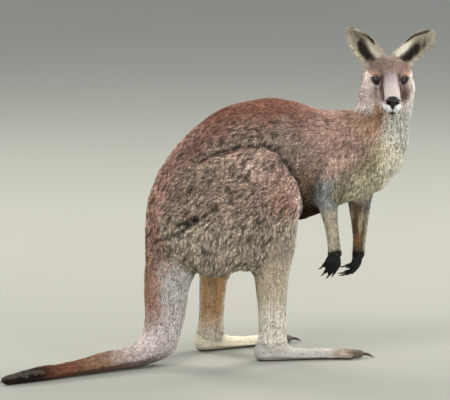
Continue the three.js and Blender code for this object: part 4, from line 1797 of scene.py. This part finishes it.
    def lowered_ear(self, points: Array) -> Array:
        """Rounds the right ear's end, which is drawn down and a little out, most at its tip.

        Args:
            points: Corner positions.

        Returns:
            The moved corners.
        """
        length, out, down = self.ear_tip
        place = self.anatomy.head
        local = place.local(points)
        ear = (local[:, 1] < -20) & (local[:, 2] > 60)
        top = local[ear, 2].max()
        share = ramp(top - length, top, local[:, 2]) * ear
        return place.world(local - share[:, None] * np.array([0.0, out, down]))

    def drawn_to(self, joint: Field, points: Array) -> Array:
        """Moves corners outward onto a joint's field, fading to nothing at its box's sides.

        Args:
            joint: The joint's field.
            points: Corner positions.

        Returns:
            The moved corners.
        """
        inset = joint.inset(points)
        inside = inset > 6 * MM
        part = points[inside]
        share = ramp(6 * MM, 22 * MM, inset[inside])
        for _ in range(4):
            gradient, size = joint.slope(part)
            step = np.clip(joint.sample(part), -3 * MM, 0) * share
            part = part - gradient / size * step[:, None]
        points = points.copy()
        points[inside] = part
        return points

    def settle(self, points: Array, neighbours: Neighbours, head: Field) -> Array:
        """Moves the head's corners onto the sculpted field, evening them out between moves.

        Args:
            points: Corner positions.
            neighbours: The mesh's neighbours.
            head: The head's field.

        Returns:
            The moved corners.
        """
        share = ramp(4 * MM, 14 * MM, head.inset(points))
        inside = share > 0
        ear = self.anatomy.site(points[inside], points[inside]).share("ear")
        soften = np.zeros((len(points), 1))
        soften[inside, 0] = 0.4 * share[inside] * (1 - ear)
        for turn in range(self.settle_turns):
            if turn < self.even_turns:
                points = points + neighbours.pull(points) * soften
            part = points[inside]
            gradient, size = head.slope(part)
            step = np.clip(head.sample(part)[:, None] / size, -2 * MM, 2 * MM)
            points[inside] = part - gradient * step * 0.8 * share[inside, None]
        return points


# ---------------------------------------------------------------- coat


class Piece(Enum):
    """The pieces of the coat: the parts that each one covers, and its side (1 left, -1 right, 0 both)."""

    HEAD = (("head", "ear_left", "ear_right"), 0)
    NECK = (("neck",), 0)
    BODY_LEFT = (("trunk",), 1)
    BODY_RIGHT = (("trunk",), -1)
    THIGH_LEFT = (("thigh_left",), 0)
    THIGH_RIGHT = (("thigh_right",), 0)
    TAIL = (("tail",), 0)
    LEGS = (("shank_left", "shank_right", "foot_left", "foot_right"), 0)
    ARMS = (tuple(f"{part}_{side}" for part in ("upper_arm", "forearm", "hand") for side in ("left", "right")), 0)

    def __init__(self, parts: tuple[str, ...], side: int) -> None:
        """Splits the value in two."""
        self.parts, self.side = parts, side


@dataclass
class Coat:
    """Solid tufts over the skin, each a curved three-sided blade that tapers to a point."""

    anatomy: Anatomy
    skin: Skin
    markings: Markings
    seed: int = 20
    thrown: float = 1.35  # places thrown for each square of the spacing
    cube: float = 0.82  # side of the cubes that keep one place each, in spacings
    limit: int = 33000  # most tufts in one piece
    waist: float = 0.42  # how far along a tuft its edge points and its ridge are
    droop: float = 0.40
    ridge: float = 0.34  # height of the ridge, in widths
    gather: float = 0.55  # how far a tuft leans to the middle of its lock

    def roots(self) -> Site:
        """Scatters places on the skin, then keeps one in each small cube, so that none crowd.

        Returns:
            The roots of all tufts.
        """
        random = np.random.default_rng(self.seed)
        skin = self.skin
        a, b, c = (skin.points[skin.rows[:, k]] for k in range(3))
        area = np.linalg.norm(np.cross(b - a, c - a), axis=1) / 2
        middle = self.anatomy.site((a + b + c) / 3, unit(np.cross(b - a, c - a)))
        spacing = middle.plan("spacing") * MM
        wanted = area / spacing**2 * self.thrown
        count = int(wanted.sum())
        thrown = (np.arange(count) + random.random(count)) * wanted.sum() / count
        picks = np.minimum(np.searchsorted(np.cumsum(wanted), thrown), len(area) - 1)
        r1, r2 = random.random(count), random.random(count)
        flip = r1 + r2 > 1
        r1, r2 = np.where(flip, 1 - r1, r1), np.where(flip, 1 - r2, r2)
        weights = np.stack([1 - r1 - r2, r1, r2], 1)
        corners = skin.rows[picks]
        points = (skin.points[corners] * weights[..., None]).sum(1)
        normals = unit((skin.normals[corners] * weights[..., None]).sum(1))
        size = spacing[picks] * self.cube
        cells = np.floor(points / size[:, None]).astype(np.int64)
        # one whole number for each cube: its three cell numbers, then its size in tenths of a millimetre
        key = cells @ np.array([2048**2, 2048, 1]) * 64 + np.round(size / MM * 10).astype(np.int64) % 64
        _, first = np.unique(key, return_index=True)
        return self.anatomy.site(points[first], normals[first])

    def lie(self, site: Site) -> Array:
        """The way the hair lies: along each part to its far end, blended, flattened on the skin.

        Args:
            site: The roots.

        Returns:
            Unit directions in the skin's plane.
        """
        total = np.zeros_like(site.points)
        head, down = self.anatomy.head, np.array([0.0, 0.0, -1.0])
        for column, name in enumerate(NAMES):
            rows = site.weights[:, column] > FAINT
            if not rows.any():
                continue
            part = site.picked(rows)
            _, _, way = self.anatomy.axes[name].locate(part.points)
            x, _, z = part.points.T
            if name == "trunk":
                way = way + down * (0.55 * (1 - np.abs(part.normals[:, 2]))[:, None])
                front = (ramp(0.20, 0.36, x) * ramp(0.64, 0.54, z))[:, None]
                way = way * (1 - front) + np.array([-0.42, 0.0, -1.0]) * 1.2 * front
            elif name.startswith("thigh"):
                low = ramp(0.42, 0.30, z)[:, None]
                way = np.array([-0.80, 0.0, -0.60]) * (1 - low) + np.array([-0.30, 0.0, -0.95]) * low
            elif name == "head":
                way = self.face_lie(part)
            elif name.startswith("ear"):
                across, up, over = head.on_ear(part.head, 1.0 if name.endswith("left") else -1.0)
                fringe = (ramp(-0.35, -0.8, across) * ramp(0.9, 0.6, up))[:, None]
                way = way * (1 - 0.6 * fringe) + head.forward * 0.1 - over * fringe
            total[rows] += way * site.weights[rows, column, None]
        wander = np.stack([noise(site.points, 26 * MM, 51 + k) for k in range(3)], 1)
        fine = np.stack([noise(site.points, 9 * MM, 61 + k) for k in range(3)], 1)
        total = unit(total) + (wander + fine * 0.8) * site.plan("ruffle")[:, None] * 1.6
        total -= site.normals * (total * site.normals).sum(1, keepdims=True)
        return unit(total)

    def face_lie(self, part: Site) -> Array:
        """On the face the hair runs back from the nose, up over the brow and down the cheeks.

        Args:
            part: Roots on the head.

        Returns:
            The way the hair lies at each.
        """
        head = self.anatomy.head
        _, l, u = part.head.T
        up = ramp(-25, 10, u) * 0.7 - ramp(-20, -50, u) * 0.35
        out = np.sign(l) * ramp(2, 20, np.abs(l)) * 0.45
        return -head.forward + head.up * up[:, None] + head.left * out[:, None]

    def sizes(self, site: Site) -> tuple[Array, Array, Array]:
        """Length, width and lift of each tuft: the plan's, changed place by place, then by chance.

        Args:
            site: The roots.

        Returns:
            Length and width in metres, and lift in radians.
        """
        random = np.random.default_rng(self.seed + 1)
        length, width, lift = site.plan("length"), site.plan("width"), site.plan("lift")
        (x, _, z), n = site.points.T, site.normals
        chest = ramp(0.36, 0.42, x) * ramp(0.44, 0.50, z) * ramp(0.70, 0.62, z) * ramp(0.2, 0.7, n[:, 0])
        belly = site.share("trunk") * ramp(-0.2, -0.8, n[:, 2])
        length = length * (1 + 0.2 * chest + 0.1 * belly)
        lift = lift + 9 * chest * ramp(0.50, 0.54, z) + 2 * chest + 4 * belly
        f, _, u = site.head.T
        face = site.share("head")
        snout = face * ramp(40, 80, f)
        eye = np.min([np.linalg.norm(site.head - ball.centre, axis=1) for ball in self.skin.eyes], axis=0)
        short = np.maximum(snout * 0.55, face * ramp(30, 17, eye) * 0.6)
        cheek = face * ramp(12, -12, f) * ramp(20, -10, u)
        length = length * (1 - short) * (1 + 0.6 * cheek)
        width = width * (1 - short * 0.45)
        lift = lift * (1 - short * 0.5) + 10 * cheek
        # fringe along the rims of the ears
        rim = site.share("ear") * ramp(0.5, 0.15, np.abs(n @ self.anatomy.head.forward))
        length = length * (1 + 0.25 * rim)
        lift = lift + 6 * rim
        for name, side in (("ear_left", 1.0), ("ear_right", -1.0)):
            across, up, _ = self.anatomy.head.on_ear(site.head, side)
            ear = site.share(name)
            fringe = ear * ramp(-0.4, -0.8, across) * ramp(0.9, 0.5, up) * ramp(-0.15, 0.05, up)
            length = (length + 0.5 * fringe) * (1 - 0.6 * ear * ramp(0.78, 0.95, up))
        # a fuller end to the tail, and fuller hair behind it and before the arms
        tail, t = site.share("tail"), site.way("tail")
        end = tail * ramp(0.72, 0.86, t) * ramp(1.0, 0.95, t)
        rear = tail * ramp(-0.3, -0.8, n[:, 0]) * bell(0.30, 0.15, z)
        fore = site.share("forearm", "upper") * ramp(0.1, 0.7, n[:, 0])
        length = length + 4 * end + 2 * rear + 1.5 * fore
        lift = lift + 9 * end + 8 * rear + 9 * fore + 5 * site.share("shank")
        # low hair keeps clear of the floor
        low = ramp(14 * MM, 4 * MM, z + n[:, 2] * 8 * MM)
        length, lift = length * (1 - 0.5 * low), lift * (1 - 0.9 * low)
        length = length * random.uniform(0.72, 1.28, len(length))
        width = width * random.uniform(0.7, 1.3, len(width))
        lift = lift * random.uniform(0.5, 1.6, len(lift))
        return length * MM, width * MM, np.radians(lift)

    def bare(self, site: Site) -> Array:
        """Where no tuft grows: the eyes and their lid rims, the mouth slot, under the nose, the floor.

        Args:
            site: The roots.

        Returns:
            Whether each root is left out.
        """
        gone = np.zeros(len(site.points), bool)
        for eye in self.skin.eyes:
            rel = site.head - eye.centre
            b, c = rel @ eye.inner, rel @ eye.brow
            oval = np.hypot(b / (eye.wide + 2.2), c / (eye.tall + 2.2))
            gone |= (oval < 1) & (rel @ eye.look > 0)
        f, l, u = site.head.T
        gone |= (f > 88) & (np.hypot(l / 20.5, (u + 42) / 17.5) < 1)
        gone |= (f > 90) & (np.abs(l) < 3.0) & (u < -50)
        return gone | (site.points[:, 2] < 1.2 * MM)

    def blades(self, site: Site, number: Array) -> tuple[Array, Array]:
        """Builds the tufts of one piece as arrays.

        The spine runs from just under the skin as height = L sin(lift) (s - droop s^2) over
        distance L cos(lift) s. At the waist lie two edge points and a ridge point, and all three
        are joined to the root point and to the tip point.

        Args:
            site: The roots.
            number: Each tuft's own number, for its random values.

        Returns:
            Corner positions and colours, both (tufts, 5, 3).
        """
        random = np.random.default_rng(self.seed + 2)
        lie = self.lie(site)
        length, width, lift = self.sizes(site)
        across = np.cross(site.normals, lie)
        bend = random.normal(0, 0.16, len(length))
        pull, _ = self.clumps(site)
        pull = (pull * across).sum(1) * (1 - 0.85 * site.share("ear"))
        stations = np.array([0.0, self.waist, 1.0])
        run = length[:, None] * np.cos(lift)[:, None] * stations
        rise = length[:, None] * np.sin(lift)[:, None] * (stations - self.droop * stations**2)
        sway = (length * bend)[:, None] * stations**2 + pull[:, None] * self.gather * stations
        root = site.points - site.normals * 0.6 * MM
        spine = root[:, None, :] + lie[:, None, :] * run[..., None]
        spine = spine + site.normals[:, None, :] * rise[..., None] + across[:, None, :] * sway[..., None]
        half, thick = across * width[:, None] / 2, site.normals * width[:, None] * self.ridge
        middle = spine[:, 1]
        corners = np.stack([spine[:, 0], middle - half, middle + half, middle + thick, spine[:, 2]], 1)
        corners[..., 2] = np.maximum(corners[..., 2], 0.4 * MM)
        return corners, self.tints(site, number, lie)

    def clumps(self, site: Site) -> tuple[Array, Array]:
        """Groups the tufts into locks: space is cut into cubes, each with a centre moved at random.

        Args:
            site: The roots.

        Returns:
            The way from each root to its lock's centre in metres, and the lock's random value.
        """
        size = np.exp(np.round(np.log(site.plan("length") * 0.85) * 3) / 3)[:, None] * MM
        cells = np.floor(site.points / size).astype(np.int64)
        middle = np.stack([hashed(cells, 91 + k) for k in range(3)], 1) * 0.3 + 0.5
        return (cells + middle) * size - site.points, hashed(cells, 95)

    def tints(self, site: Site, number: Array, lie: Array) -> Array:
        """Colours each tuft: the coat's colour, with painted shade at its root and on its two edge corners and a
        painted highlight on its ridge, then a light or a dark tip.

        Args:
            site: The roots.
            number: Each tuft's own number.
            lie: The way each tuft lies.

        Returns:
            Colours (tufts, 5, 3), in the order of a tuft's corners.
        """
        base = self.markings.colour(site)
        key = np.stack([number, number * 0 + 5, number * 0 + 9], 1)
        chance = hashed(key, 81) * 0.5 + 0.5
        pull, lock = self.clumps(site)
        edge = np.linalg.norm(pull, axis=1) / (site.plan("length") * 0.53 * MM)
        f, l, u = site.head.T
        jowl = ramp(-64, -46, f) * ramp(24, 36, np.abs(l)) * ramp(-100, -80, u) * ramp(45, 25, u)
        rough = np.clip(site.plan("ruffle") * 3.2, 0.3, 1) * (1 - 0.6 * np.maximum(jowl, site.share("ear")))
        steps = range(-2, 3)
        strand = sum(noise(site.points + lie * (k * 3.2 * MM), 3.9 * MM, 97) for k in steps) / len(steps)
        front = ramp(0.15, 0.6, site.normals[:, 0]) * ramp(0.38, 0.42, site.points[:, 0])
        fore = site.share("neck", "upper", "head") + site.share("trunk") * ramp(0.10, 0.22, site.points[:, 0])
        calm = 1 - 0.5 * np.maximum(site.share("shank", "fore", "tail"), np.maximum(front, 0.7 * fore))
        fine = sum(noise(site.points + lie * (k * 2.4 * MM), 2.8 * MM, 98) for k in steps) / len(steps)
        strand = strand + (fine - strand) * (0.75 * np.clip(fore, 0, 1))
        # lighter streaks along the strands, and painted shade in the grooves between them
        strand = calm * (0.60 * ramp(0.02, 0.28, strand) - 0.68 * ramp(-0.02, -0.24, strand))
        # random tone for each tuft and each lock, the streaks, and painted shade at the edges of the locks
        shade = 1 + 0.28 * hashed(key, 82) + rough * (0.25 * lock * calm + strand - 0.75 * calm * (edge - 0.72))
        # painted light on the chest's forward face
        shade = np.clip(shade, 0.22, 2.0) * (1 + 0.24 * front)
        speckle = site.share("trunk", "thigh", "neck", "upper", "fore")
        speckle = speckle + 0.5 * site.share("tail", "shank") + 0.8 * site.share("head", "ear")
        speckle = np.clip(speckle, 0.3, 1)
        tip = np.where(chance < 0.32, 1 - 0.55 * speckle, np.where(chance > 0.60, 1 + 0.55 * speckle, 1.0))
        warm = 1 + hashed(key, 83)[:, None] * np.array([0.05, 0.0, -0.06])
        base = base * shade[:, None] * warm
        pale = (0.55 * speckle * (tip > 1) * ramp(0.03, 0.11, base.mean(1)))[:, None]
        end = base * tip[:, None] * (1 - pale) + self.markings.tone("tips") * shade[:, None] * pale
        middle = base * (1 + (np.minimum(tip, 1.3)[:, None] - 1) * 0.4)
        # the root is darkened, and the two edge corners a little, as painted shade; the ridge corner is lightened as a
        # painted highlight
        return np.stack([base * 0.5, middle * 0.86, middle * 0.86, middle * 1.1, end], 1)

    def charts(self, site: Site, piece: Piece) -> Array:
        """Unwraps the skin for a piece: each part is a strip, rolled out round its centre line.

        Args:
            site: The roots.
            piece: The piece.

        Returns:
            Two map coordinates for each root, inside the unit square.
        """
        result = np.zeros((len(site.points), 2))
        owner = np.argmax(site.weights[:, [NAMES.index(name) for name in piece.parts]], axis=1)
        for k, name in enumerate(piece.parts):
            rows = owner == k
            if not rows.any():
                continue
            t, off, way = self.anatomy.axes[name].locate(site.points[rows])
            up = np.array([0.0, 0.0, 1.0]) if abs(PLANS[name].heading[2]) < 0.8 else np.array([1.0, 0.0, 0.0])
            side = unit(np.cross(way, up))
            turn = np.arctan2((off * side).sum(1), (off * np.cross(side, way)).sum(1)) / (2 * math.pi) + 0.5
            if piece.side:
                turn = np.abs(turn - 0.5) * 2
            ends = t + (off * way).sum(1) * 2
            ends = (ends - ends.min()) / max(np.ptp(ends), 1e-9)
            result[rows, 0] = (k + 0.02 + 0.96 * turn) / len(piece.parts)
            result[rows, 1] = ends
        return 0.003 + result * 0.994

    def grow(self, material: bpy.types.Material) -> None:
        """Makes the coat's pieces.

        Args:
            material: Their finish.
        """
        site = self.roots()
        site = site.picked(~self.bare(site))
        owner = np.argmax(site.weights, axis=1)
        leftward = self.anatomy.axes["trunk"].locate(site.points)[1][:, 1]
        number = np.arange(len(site.points))
        LOG.info("coat: %d tufts", len(number))
        for piece in Piece:
            rows = np.isin(owner, [NAMES.index(name) for name in piece.parts])
            if piece.side:
                rows &= (leftward > 0) == (piece.side > 0)
            chosen = np.flatnonzero(rows)
            if len(chosen) > self.limit:
                LOG.info("coat: %s thinned from %d tufts", piece.name, len(chosen))
                chosen = np.sort(np.random.default_rng(3).permutation(chosen)[: self.limit])
            self.make(piece, site.picked(chosen), number[chosen], material)

    def make(self, piece: Piece, site: Site, number: Array, material: bpy.types.Material) -> None:
        """Joins one piece's tufts into a mesh with its colours and its map.

        Args:
            piece: Which piece.
            site: The roots.
            number: Each tuft's own number.
            material: The finish.
        """
        corners, colours = self.blades(site, number)
        pattern = np.array([[0, 1, 3], [0, 3, 2], [0, 2, 1], [4, 3, 1], [4, 2, 3], [4, 1, 2]])
        rows = (np.arange(len(corners))[:, None, None] * 5 + pattern[None]).reshape(-1, 3)
        coat = new_object("coat_" + piece.name.lower(), corners.reshape(-1, 3), rows, material)
        paint(coat.data, np.clip(colours.reshape(-1, 3), 0, 1))
        chart = self.charts(site, piece)
        patch = np.array([[0, -0.5], [-0.5, 0.0], [0.5, 0.0], [0, 0.05], [0, 0.5]]) * 0.003
        spots = (chart[:, None, :] + patch[None]).reshape(-1, 2)
        layer = coat.data.uv_layers.new(name="OFBake")
        loops = np.empty(len(coat.data.loops), np.int32)
        coat.data.loops.foreach_get("vertex_index", loops)
        layer.data.foreach_set("uv", np.clip(spots[loops], 0, 1).astype(np.float32).ravel())
        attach(coat, "root")


# ---------------------------------------------------------------- eyes, nose and claws


@dataclass
class Eyeball:
    """A ball with a low cornea: radius = R + bulge exp(-(angle / 34 degrees)^4) about its look."""

    eye: Eye
    head: HeadFrame
    bulge: float = 0.5
    around: int = 56
    down: int = 40
    pupil: str = "#030303"
    # from the pupil's edge outward: a colour, and the angles between which it comes in
    rings: tuple[tuple[str, float, float], ...] = (
        ("#20140b", 22, 27),
        ("#0e0906", 36, 46),
        ("#060404", 46, 50),
        ("#1a1210", 58, 70),
    )

    def build(self, name: str, node: str, material: bpy.types.Material) -> None:
        """Makes the ball as a surface of two angles, with rings of colour round its pupil.

        Args:
            name: The piece's name.
            node: The solid that it stands for.
            material: Its finish.
        """
        angle = np.linspace(0, math.pi, self.down + 1)[1:-1]
        turn = np.linspace(0, 2 * math.pi, self.around, endpoint=False)
        a, t = np.meshgrid(angle, turn, indexing="ij")
        a = np.concatenate([[0.0], a.ravel(), [math.pi]])
        t = np.concatenate([[0.0], t.ravel(), [0.0]])
        radius = self.eye.radius + self.bulge * np.exp(-((a / math.radians(34)) ** 4))
        axes = np.stack([self.eye.look, self.eye.inner, np.cross(self.eye.look, self.eye.inner)])
        shape = np.stack([np.cos(a), np.sin(a) * np.cos(t), np.sin(a) * np.sin(t)], 1) * radius[:, None]
        points = self.head.world(self.eye.centre + shape @ axes)
        piece = new_object(name, points, ring_faces(self.down - 1, self.around), material)
        colour = np.broadcast_to(linear(self.pupil), (len(a), 3))
        for code, first, last in self.rings:
            colour = mixed(colour, linear(code), ramp(first, last, np.degrees(a)))
        paint(piece.data, colour)
        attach(piece, "root")
        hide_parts(node)


@dataclass
class NoseLeather:
    """The bare black nose pad with its two comma-shaped nostrils, in head millimetres."""

    head: HeadFrame
    step: float = 0.6 * MM

    def build(self, material: bpy.types.Material) -> None:
        """Samples the nose solid, rounds it and cuts the nostrils and the middle groove.

        Args:
            material: Its finish.
        """
        box = tuple(np.array(corner) + grow * 7 * MM for corner, grow in zip(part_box("nose"), (-1, 1)))
        solid = Field.within(closed(["nose"], self.step, 1.5 * MM), box, self.step, 6 * MM)
        solid.blurred(4)
        axes = [solid.low[k] + solid.step * np.arange(solid.values.shape[k]) for k in range(3)]
        where = np.stack(np.meshgrid(*axes, indexing="ij"), -1)
        local = self.head.local(where)
        f, l, u = np.moveaxis(local, -1, 0)
        narrow = 1 - 0.16 * bell(-42, 9, u) + 0.12 * ramp(-32, -26, u)
        shaped = np.stack([f - 0.4, l * narrow, u], -1).reshape(-1, 3)
        v = solid.sample(self.head.world(shaped)).reshape(f.shape) / MM
        for side in (-1, 1):
            v = carved(v, egg(local, (107, side * 11.0, -41.5), (9.0, 4.8, 3.8)), 1.6)
            v = carved(v, egg(local, (102, side * 17.0, -40.5), (9.0, 4.5, 1.8)), 1.2)
        v = carved(v, np.maximum(np.abs(l) - 0.5, -(v + 1.1)), 1.0)
        solid.values = (v * MM).astype(np.float32)
        piece = new_object("nose_leather", *solid.surface(), material)
        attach(piece, "root")
        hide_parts("nose")


@dataclass
class Claws:
    """Curved horn claws: oval sections carried along each solid's own centre line."""

    sides: int = 14
    stations: int = 10
    slices: int = 6  # of the solid, measured one by one
    overlap: float = 0.35  # of a slice with the next, in slices
    taper: float = 0.45  # the share of the length over which the point narrows

    def build(self, material: bpy.types.Material) -> None:
        """Makes a smooth claw for each claw solid.

        Args:
            material: The horn finish.
        """
        for name in sorted(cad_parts):
            if "claw" in name:
                self.one(name, material)

    def one(self, name: str, material: bpy.types.Material) -> None:
        """Lofts one claw: each section is an ellipse with the solid's own width and height there.

        Args:
            name: The claw solid's node.
            material: The horn finish.
        """
        cloud, _ = node_faces([name])
        middle = cloud.mean(0)
        rel = cloud - middle
        along = np.linalg.svd(rel, full_matrices=False)[2][0]
        t = rel @ along
        spread = np.linalg.norm(rel - np.outer(t, along), axis=1)
        if spread[t > np.quantile(t, 0.8)].mean() > spread[t < np.quantile(t, 0.2)].mean():
            along, t = -along, -t
        up = np.array([0.0, 0.0, 1.0]) - along * along[2]
        up = unit(up) if np.linalg.norm(up) > 0.3 else unit(np.array([1.0, 0, 0]) - along * along[0])
        side = np.cross(along, up)
        s = np.linspace(0, 1, self.stations)
        place = t.min() + (t.max() - t.min()) * s
        out, over, wide, tall = self.sections(t, rel @ side, rel @ up, place)
        taper = np.sqrt(np.clip(1 - ((s - 1 + self.taper).clip(0) / self.taper) ** 2, 0.0016, 1))
        angle = np.linspace(0, 2 * math.pi, self.sides, endpoint=False)
        wide = (wide * taper)[:, None] * np.cos(angle) + out[:, None]
        tall = (tall * taper)[:, None] * np.sin(angle) + over[:, None]
        rings = middle + place[:, None, None] * along + wide[..., None] * side + tall[..., None] * up
        first, last = rings[0].mean(0), rings[-1].mean(0) + along * 0.2 * MM
        corners = np.concatenate([[first], rings.reshape(-1, 3), [last]])
        faces = outward(corners, ring_faces(self.stations, self.sides))
        piece = new_object("horn_" + name, corners, faces, material)
        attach(piece, "root")
        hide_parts(name)

    def sections(self, t: Array, a: Array, b: Array, place: Array) -> list[Array]:
        """Measures the solid slice by slice.

        Args:
            t: How far along the claw each corner of the solid is.
            a: How far it is to the side.
            b: How far it is up.
            place: Where along the claw the sections are wanted.

        Returns:
            The sections' middles to the side and up, then their half widths and half heights.
        """
        edges = np.linspace(t.min(), t.max(), self.slices + 1)
        margin = (edges[1] - edges[0]) * self.overlap
        rows = []
        for low, high in zip(edges[:-1], edges[1:]):
            inside = (t >= low - margin) & (t <= high + margin)
            if inside.sum() > 3:
                spans = [(values[inside].min(), values[inside].max()) for values in (a, b)]
                middles = [(first + last) / 2 for first, last in spans]
                rows.append([(low + high) / 2, *middles, *((last - first) / 2 for first, last in spans)])
        where, *columns = np.array(rows).T
        return [np.interp(place, where, column) for column in columns]


# ---------------------------------------------------------------- studio


@dataclass
class Studio:
    """A plain pale floor, soft light and a long lens at the animal's right side.

    lamps holds each lamp's name, place in metres, side, power in watts and colour.
    """

    target: Point = (0.0076, 0.0824, 0.398)
    distance: float = 12.0
    elevation: float = 8.5
    lens: float = 384.0
    span: float = 40.0  # half the floor's side
    sky: str = "#eef0f2"
    sky_strength: float = 0.84
    floor_tones: tuple[str, str] = ("#8b8d86", "#92948d")
    lamps: tuple[tuple[str, Point, float, float, str], ...] = (
        ("key", (-1.4, -2.6, 4.8), 2.2, 141, "#fff6ea"),
        ("fill", (3.8, -3.0, 1.5), 2.4, 140, "#fbf8f2"),
        ("front", (0.4, -5.6, 1.0), 3.0, 48, "#fdfbf6"),
        ("rim_left", (-2.6, 3.0, 3.0), 1.8, 150, "#fff8ef"),
        ("rim_right", (2.9, 2.8, 3.0), 1.8, 170, "#fff8ef"),
    )

    def floor(self) -> None:
        """Makes the floor, a wide square a little roughened by a soft colour change."""
        material, tree = blank_material("pale_matt_floor")
        place = add_node(tree, "ShaderNodeTexCoord", {}, {}).outputs["Object"]
        cloud = add_node(tree, "ShaderNodeTexNoise", {"Scale": 0.7, "Detail": 2.0}, {"Vector": place})
        tones = {"data_type": "RGBA"} | {6 + k: (*linear(code), 1.0) for k, code in enumerate(self.floor_tones)}
        tone = add_node(tree, "ShaderNodeMix", tones, {0: cloud.outputs["Fac"]}).outputs[2]
        shader = add_node(tree, "ShaderNodeBsdfPrincipled", {"Roughness": 0.9}, {"Base Color": tone})
        add_node(tree, "ShaderNodeOutputMaterial", {}, {"Surface": shader.outputs["BSDF"]})
        points = self.span * np.array([[-1.0, -1, 0], [1, -1, 0], [1, 1, 0], [-1, 1, 0]])
        new_object("studio_floor", points, np.array([[0, 1, 2, 3]]), material)

    def lamp(self, name: str, place: Point, size: float, power: float, tint: str) -> None:
        """Adds a square soft light that faces the animal.

        Args:
            name: The light's name.
            place: Where it stands, in metres.
            size: Its side.
            power: Its power in watts.
            tint: Its colour.
        """
        data = bpy.data.lights.new(name, "AREA")
        data.size, data.energy = size, power
        data.color = tuple(linear(tint))
        lamp = bpy.data.objects.new(name, data)
        bpy.context.scene.collection.objects.link(lamp)
        lamp.location = place
        aim = Vector(np.array(self.target) - np.array(place))
        lamp.rotation_euler = aim.to_track_quat("-Z", "Y").to_euler()

    def lights(self) -> None:
        """A bright overcast sky, and every lamp."""
        world = bpy.data.worlds.new("studio_sky")
        bpy.context.scene.world = world
        world.use_nodes = True
        sky = world.node_tree.nodes["Background"]
        sky.inputs["Color"].default_value = (*linear(self.sky), 1.0)
        sky.inputs["Strength"].default_value = self.sky_strength
        for lamp in self.lamps:
            self.lamp(*lamp)

    def camera(self) -> None:
        """Stands the camera at the animal's right, a little above the target, and aims it there."""
        data = bpy.data.cameras.new("camera")
        data.lens, data.sensor_width, data.sensor_fit = self.lens, 36.0, "HORIZONTAL"
        data.clip_end = 200.0
        camera = bpy.data.objects.new("camera", data)
        bpy.context.scene.collection.objects.link(camera)
        tilt = math.radians(self.elevation)
        x, y, z = self.target
        camera.location = (x, y - self.distance * math.cos(tilt), z + self.distance * math.sin(tilt))
        camera.rotation_euler = (math.pi / 2 - tilt, 0, 0)
        bpy.context.scene.camera = camera

    def build(self) -> None:
        """Sets up floor, lights, camera and a plain colour transform."""
        self.floor()
        self.lights()
        self.camera()
        bpy.context.scene.view_settings.view_transform = "Standard"


def main() -> None:
    """Builds the studio, the skin, the eyes, nose and claws, and then the coat."""
    logging.basicConfig(level=logging.INFO, format="%(message)s")
    Studio().build()
    head = HeadFrame.from_solids()
    anatomy = Anatomy(head)
    anatomy.survey()
    eyes = (Eye(1.0), Eye(-1.0))
    markings = Markings(Palette(), head, eyes[0])
    skin = Skin(anatomy, eyes)
    skin.build(HairFinish("short_underfur_over_skin", bump=0.5).make(), markings)
    wet = WetEye().make()
    Eyeball(eyes[0], head).build("eyeball_left", "eye_left", wet)
    Eyeball(eyes[1], head).build("eyeball_right", "eye_right", wet)
    NoseLeather(head).build(NOSE_LEATHER.make())
    Claws().build(HORN.make())
    Coat(anatomy, skin, markings).grow(HairFinish().make())
    bpy.context.view_layer.update()


if __name__ == "__main__":
    main()
